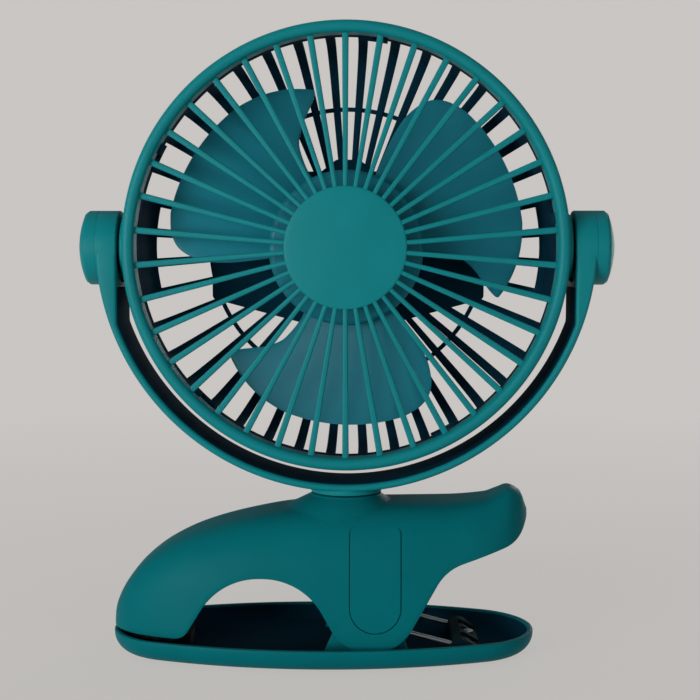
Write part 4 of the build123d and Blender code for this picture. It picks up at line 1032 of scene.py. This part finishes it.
def cover_form(grow, top_grow, depth, proud, side, edge=0.0):
    """A patch that follows the jaw's side, from a depth under its surface to proud of it."""
    columns = 22
    rings = []
    for z, half in cover_rows(grow, top_grow):
        outer, inner = [], []
        for k in range(columns + 1):
            u = sin(pi / 2 * (2 * k / columns - 1))
            x = COVER_MIDDLE + half * u
            surface = side_y(x, z)
            drop = edge * max(0.0, 1 - (1 - abs(u)) * half / edge) ** 2 if edge else 0.0
            outer.append(Vector((x, side * (surface + proud - drop), z)))
            inner.append(Vector((x, side * (surface - depth), z)))
        rings.append(outer + inner[::-1])
    return Form().skin(rings)


def rear_hole(outline):
    """A cutter through the jaw's rear wall, with an outline in X and Z."""
    return Form().skin([[Vector((x, y, z)) for x, z in outline] for y in REAR_WALL])


def round_hole(node, radius):
    """A cutter for a round hole in the jaw's rear wall, about a node."""
    low, high = node_box(node)
    middle = (low + high) / 2
    return rear_hole([(middle.x + x, middle.z + z) for x, z in circle(radius, 40)])


def softened(ring, other):
    """A half ring whose two ends turn towards the ring beside it."""
    ends = []
    for here, on, across in ((ring[0], ring[1], other[0]), (ring[-1], ring[-2], other[-1])):
        up, over = (on - here).normalized(), (across - here).normalized()
        ends.append([here + up * JAW_EDGE, here + (up + over) * JAW_EDGE * JAW_EDGE_BEND,
                     here + over * JAW_EDGE])
    low, high = ends
    return low[::-1] + ring[1:-1] + high


def jaw_ring(x):
    """One cross-section of the jaw's wall, outside and inside."""
    outer, inner = jaw_half_ring(x, 0), jaw_half_ring(x, JAW_WALL)
    return softened(outer, inner) + inner[::-1]


def upper_jaw():
    """The jaw's cover with its pockets and openings, and the side covers in their pockets."""
    form = Form().skin([jaw_ring(x) for x in jaw_stations()])
    cutters = [cover_form(COVER_GROOVE, COVER_TOP_GAP, COVER_POCKET, CUTTER_PROUD, side)
               for side in (-1, 1)]
    cutters += [round_hole("power_button", BUTTON_HOLE), round_hole("indicator_lens", LENS_HOLE)]
    low, high = node_box("usb_socket")
    cutters.append(rear_hole(rounded_rect(low.x - SOCKET_GAP, high.x + SOCKET_GAP,
                                          low.z - SOCKET_GAP, high.z + SOCKET_GAP,
                                          SOCKET_ROUND, 5)))
    add_piece("jaw_cover", form, "upper_jaw", "deep_teal", ["jaw_shell"], sharp=32,
              cutters=cutters)
    for side, word in ((-1, "front"), (1, "rear")):
        cover = cover_form(0.0, 0.0, COVER_THICK, 0.0, side, edge=COVER_EDGE)
        add_piece("hinge_cover_" + word, cover, "upper_jaw", "deep_teal", ["side_cover_" + word],
                  sharp=25)


def crown_z(x, y):
    """Height of the jaw's outside above a place."""
    out = min(abs(y) / (JAW_HALF * plan_share(x)), 1.0)
    return JAW_OPEN_Z + (jaw_top(x) - JAW_OPEN_Z) * (1 - out ** CROSS_POWER) ** (1 / CROSS_POWER)


def swivel_collar():
    """Collar round the fork's neck, which flares out into the jaw's crown."""
    steps, around = 16, 96
    rings = []
    for k in range(steps + 1):
        t = k / steps
        ring = []
        for i in range(around):
            angle = 2 * pi * i / around
            flare = COLLAR_FLARE - COLLAR_FLARE_LEAN * cos(angle)
            out = COLLAR_RADIUS + flare * (1 - t)
            x, y = out * cos(angle), out * sin(angle)
            low = crown_z(x, y) - COLLAR_ON_CROWN
            ring.append(Vector((x, y, low + (COLLAR_TOP - COLLAR_EDGE - low) * t ** COLLAR_CURVE)))
        rings.append(ring)
    for radius, z in ((COLLAR_RADIUS - COLLAR_BREAK, COLLAR_TOP - COLLAR_BREAK),
                      (COLLAR_RADIUS - COLLAR_EDGE, COLLAR_TOP), (COLLAR_BORE, COLLAR_TOP),
                      (COLLAR_BORE, COLLAR_TOP - COLLAR_BORE_DEPTH)):
        rings.append([Vector((x, y, z)) for x, y in circle(radius, around)])
    rings.append([Vector((p.x, p.y, min(p.z, crown_z(p.x, p.y)) - COLLAR_SUNK)) for p in rings[0]])
    form = Form().skin(rings, looped=True)
    add_piece("swivel_collar", form, "upper_jaw", "deep_teal")


# ---- tray ----
def oval_points():
    """The tray's outline with its outward directions: two end arcs and two long side arcs."""
    run = TRAY_HALF_LENGTH - TRAY_END
    side = (run ** 2 + TRAY_HALF_WIDTH ** 2 - TRAY_END ** 2) / (2 * (TRAY_HALF_WIDTH - TRAY_END))
    drop = side - TRAY_HALF_WIDTH
    corner = atan2(drop, run)
    found = []
    arcs = [(run, 0, TRAY_END, -corner, corner, 40), (0, -drop, side, corner, pi - corner, 70),
            (-run, 0, TRAY_END, pi - corner, pi + corner, 40),
            (0, drop, side, pi + corner, 2 * pi - corner, 70)]
    for cx, cy, radius, start, end, steps in arcs:
        for k in range(steps):
            a = start + (end - start) * k / steps
            way = Vector((cos(a), sin(a)))
            found.append((Vector((cx, cy)) + way * radius + Vector((TRAY_SHIFT, 0)), way))
    return found


def round_the_tray(profile):
    """Rings that carry a profile (inset, height) round the tray's outline."""
    points = oval_points()
    return [[Vector((p.x - way.x * inset, p.y - way.y * inset, z)) for p, way in points]
            for inset, z in profile]


def tray_bend(radius):
    """The bend between the tray's floor and its wall, from the floor up."""
    return [(TRAY_ROUND - radius * sin(a), TRAY_LIFT + TRAY_ROUND - radius * cos(a))
            for a in quarter(10)]


def tray():
    """The lower jaw: a shallow dish with two ears for the pin."""
    outside = tray_bend(TRAY_ROUND)
    inside = tray_bend(TRAY_ROUND - TRAY_WALL)[::-1]
    lip = [(inset, TRAY_RIM - drop) for inset, drop in TRAY_LIP]
    lip += [(TRAY_WALL - inset, TRAY_RIM - drop) for inset, drop in reversed(TRAY_LIP)]
    form = Form().skin(round_the_tray(outside + lip + inside))
    foot, top = TRAY_LIFT + TRAY_WALL / 2, PIN.z + EAR_RADIUS
    outline = rounded([(PIN.x - EAR_FOOT_LEFT, foot, 0), (PIN.x + EAR_FOOT_RIGHT, foot, 0),
                       (PIN.x + EAR_RADIUS, top, EAR_ROUND), (PIN.x - EAR_RADIUS, top, EAR_ROUND)],
                      steps=8)
    for s in (-1, 1):
        y0, y1 = sorted((s * EAR_OUTER, s * (EAR_OUTER - EAR_THICK)))
        form.slab(outline, y0, y1, EAR_EDGE, centre=Vector((0, 0, 0)))
    add_piece("tray_dish", form, "tray", "deep_teal", ["base_tray"])


def tray_painted_shade():
    """Thin dark sheet on the tray's inside, up to just under its rim: painted shade over the teal."""
    def side(out):
        """The inside wall from the floor up, moved out of the wall into the tray."""
        bend = tray_bend(TRAY_ROUND - TRAY_WALL - out)
        return bend + [(TRAY_WALL + out, TRAY_RIM - TRAY_SHADE_DROP)]
    profile = side(-TRAY_SHADE_SUNK) + side(TRAY_SHADE_PROUD)[::-1]
    # The dark navy here is painted shade on the tray's teal inside.
    add_piece("tray_painted_shade", Form().skin(round_the_tray(profile)), "tray", "dark_navy")


def coil_point(start, turned, y0):
    """A place on the spring's coil, turned clockwise from its start."""
    angle = radians(start - turned)
    return Vector((PIN.x + COIL_RADIUS * cos(angle), y0 + COIL_PITCH * turned / 360,
                   PIN.z + COIL_RADIUS * sin(angle)))


def spring():
    """One wire: a leg, a coil, the bridge, the other coil and its leg."""
    dx, dz = LEG_END[0] - PIN.x, LEG_END[1] - PIN.z
    start = (atan2(dz, dx) - pi / 2 + asin(COIL_RADIUS / hypot(dx, dz))) * 180 / pi
    turned = start + 270 + 360 * COIL_TURNS
    y0 = -BRIDGE_HALF_GAP - COIL_PITCH * turned / 360
    steps = 200
    line = [Vector((LEG_END[0], y0, LEG_END[1]))]
    line += [coil_point(start, turned * k / steps, y0) for k in range(steps + 1)]
    last = line[-1]
    run = BRIDGE_REACH - BRIDGE_HALF_GAP
    line += [last + Vector((run * k / 4, 0, 0)) for k in range(1, 5)]
    bend = last + Vector((run, BRIDGE_HALF_GAP, 0))
    line += [bend + Vector((sin(a), -cos(a), 0)) * BRIDGE_HALF_GAP for a in quarter(6, 1)]
    line += [Vector((p.x, -p.y, p.z)) for p in reversed(line[:-1])]
    rings = []
    for i, here in enumerate(line):
        way = (line[min(i + 1, len(line) - 1)] - line[max(i - 1, 0)]).normalized()
        out = Vector((here.x - PIN.x, 0, here.z - PIN.z))
        side = way.cross(out).normalized()
        up = side.cross(way)
        rings.append([here + side * a + up * b for a, b in circle(WIRE_RADIUS, WIRE_SIDES)])
    form = Form().skin(rings)
    # Points below and above the pin are passed as bends; the wire is kept where it stands and tied to no body.
    foot, head = (Vector((PIN.x, 0, PIN.z + up)) * MM for up in (-COIL_RADIUS, COIL_RADIUS))
    add_piece("spring_wire", form, "tray", "steel", ["torsion_spring"], sharp=60,
              bends=("upper_jaw", foot, head))


# ---- stage ----
CAMERA_PLACE = Vector((10.0, -450.0, 132.6))
CAMERA_DOWN = 4.23
CAMERA_LEFT = 1.12
LENS = 70.9
BACKDROP = (0.585, 0.565, 0.545)
FLOOR_REACH = 9000.0
SKY_TONE = (0.93, 0.96, 1.0, 1.0)
SKY_LEVEL = 0.22
# Name, place, what it points at, size and watts of each lamp
LAMPS = (
    ("key", (-1.0, -1.2, 0.1), (0, 0, 0.1), 0.8, 22),
    ("fill", (0.9, -1.2, 0.06), (0, 0, 0.06), 1.0, 3),
    ("back", (0.7, 1.4, 0.2), (0, 0, 0.1), 0.9, 5),
)


def camera():
    data = bpy.data.cameras.new("camera")
    data.sensor_width = 36.0
    data.lens = LENS
    camera_object = bpy.data.objects.new("camera", data)
    camera_object.location = CAMERA_PLACE * MM
    camera_object.rotation_euler = (radians(90 - CAMERA_DOWN), 0.0, radians(CAMERA_LEFT))
    bpy.context.scene.collection.objects.link(camera_object)
    bpy.context.scene.camera = camera_object


def area_light(name, place, target, size, watts):
    data = bpy.data.lights.new(name, "AREA")
    data.shape = "DISK"
    data.size = size
    data.energy = watts
    lamp = bpy.data.objects.new(name, data)
    lamp.location = place
    lamp.rotation_euler = (Vector(target) - Vector(place)).to_track_quat("-Z", "Y").to_euler()
    bpy.context.scene.collection.objects.link(lamp)


def backdrop_material():
    """Pale paper with the object's shadow on it, which evens out to one tone away from it."""
    material, net, shader = start_material("backdrop_paper")
    texture = net.effect("grain", Grain_Scale=400.0, Flow_Scale=3.0)
    tone = net.mix(texture["Flow"], shaded(BACKDROP, 1.4), shaded(BACKDROP, 1.5))
    net.feed(shader, {"Base Color": tone, "Roughness": 0.9})
    glow = net.add("Emission", {"Color": colour4(BACKDROP)})
    path = net.add("LightPath")
    seen = net.math("MAXIMUM", path["Is Camera Ray"], path["Is Glossy Ray"])
    away = net.add("VectorMath", {0: net.add("TexCoord")["Object"]}, operation="LENGTH")["Value"]
    even = net.spread(away, 0.8, 1.0, from_low=0.12, from_high=0.7)
    mixed = net.add("MixShader", {"Fac": net.math("MULTIPLY", seen, even),
                                  1: shader.outputs[0], 2: glow[0]})
    net.feed(net.nodes["Material Output"], {"Surface": mixed[0]})
    return material


def studio_world():
    """Soft light from all round. The camera sees the backdrop's tone."""
    world = bpy.data.worlds.new("studio")
    bpy.context.scene.world = world
    world.use_nodes = True
    net = Net(world.node_tree)
    sky = net.nodes["Background"]
    net.feed(sky, {"Color": SKY_TONE, "Strength": SKY_LEVEL})
    plain = net.add("Background", {"Color": colour4(BACKDROP)})
    mixed = net.add("MixShader", {"Fac": net.add("LightPath")["Is Camera Ray"],
                                  1: sky.outputs[0], 2: plain[0]})
    net.feed(net.nodes["World Output"], {"Surface": mixed[0]})


def stage():
    form = Form()
    form.points += [(x, y, 0) for x, y in circle(FLOOR_REACH, 96)]
    form.faces.append(tuple(range(len(form.points))))
    backdrop = bpy.data.objects.new("backdrop", form.mesh("backdrop"))
    backdrop.data.materials.append(backdrop_material())
    bpy.context.scene.collection.objects.link(backdrop)
    studio_world()
    for lamp in LAMPS:
        area_light(*lamp)
    bpy.context.scene.view_settings.view_transform = "Standard"


def build():
    camera()
    stage()
    dress_cad_nodes()
    front_guard()
    guard_tabs()
    rear_guard()
    rear_plate()
    pivot_bosses()
    fork()
    fork_painted_shade()
    pivot_cap("left", "tilt_cap_left")
    pivot_cap("right", "tilt_cap_right")
    blades()
    upper_jaw()
    swivel_collar()
    tray()
    tray_painted_shade()
    spring()


build()
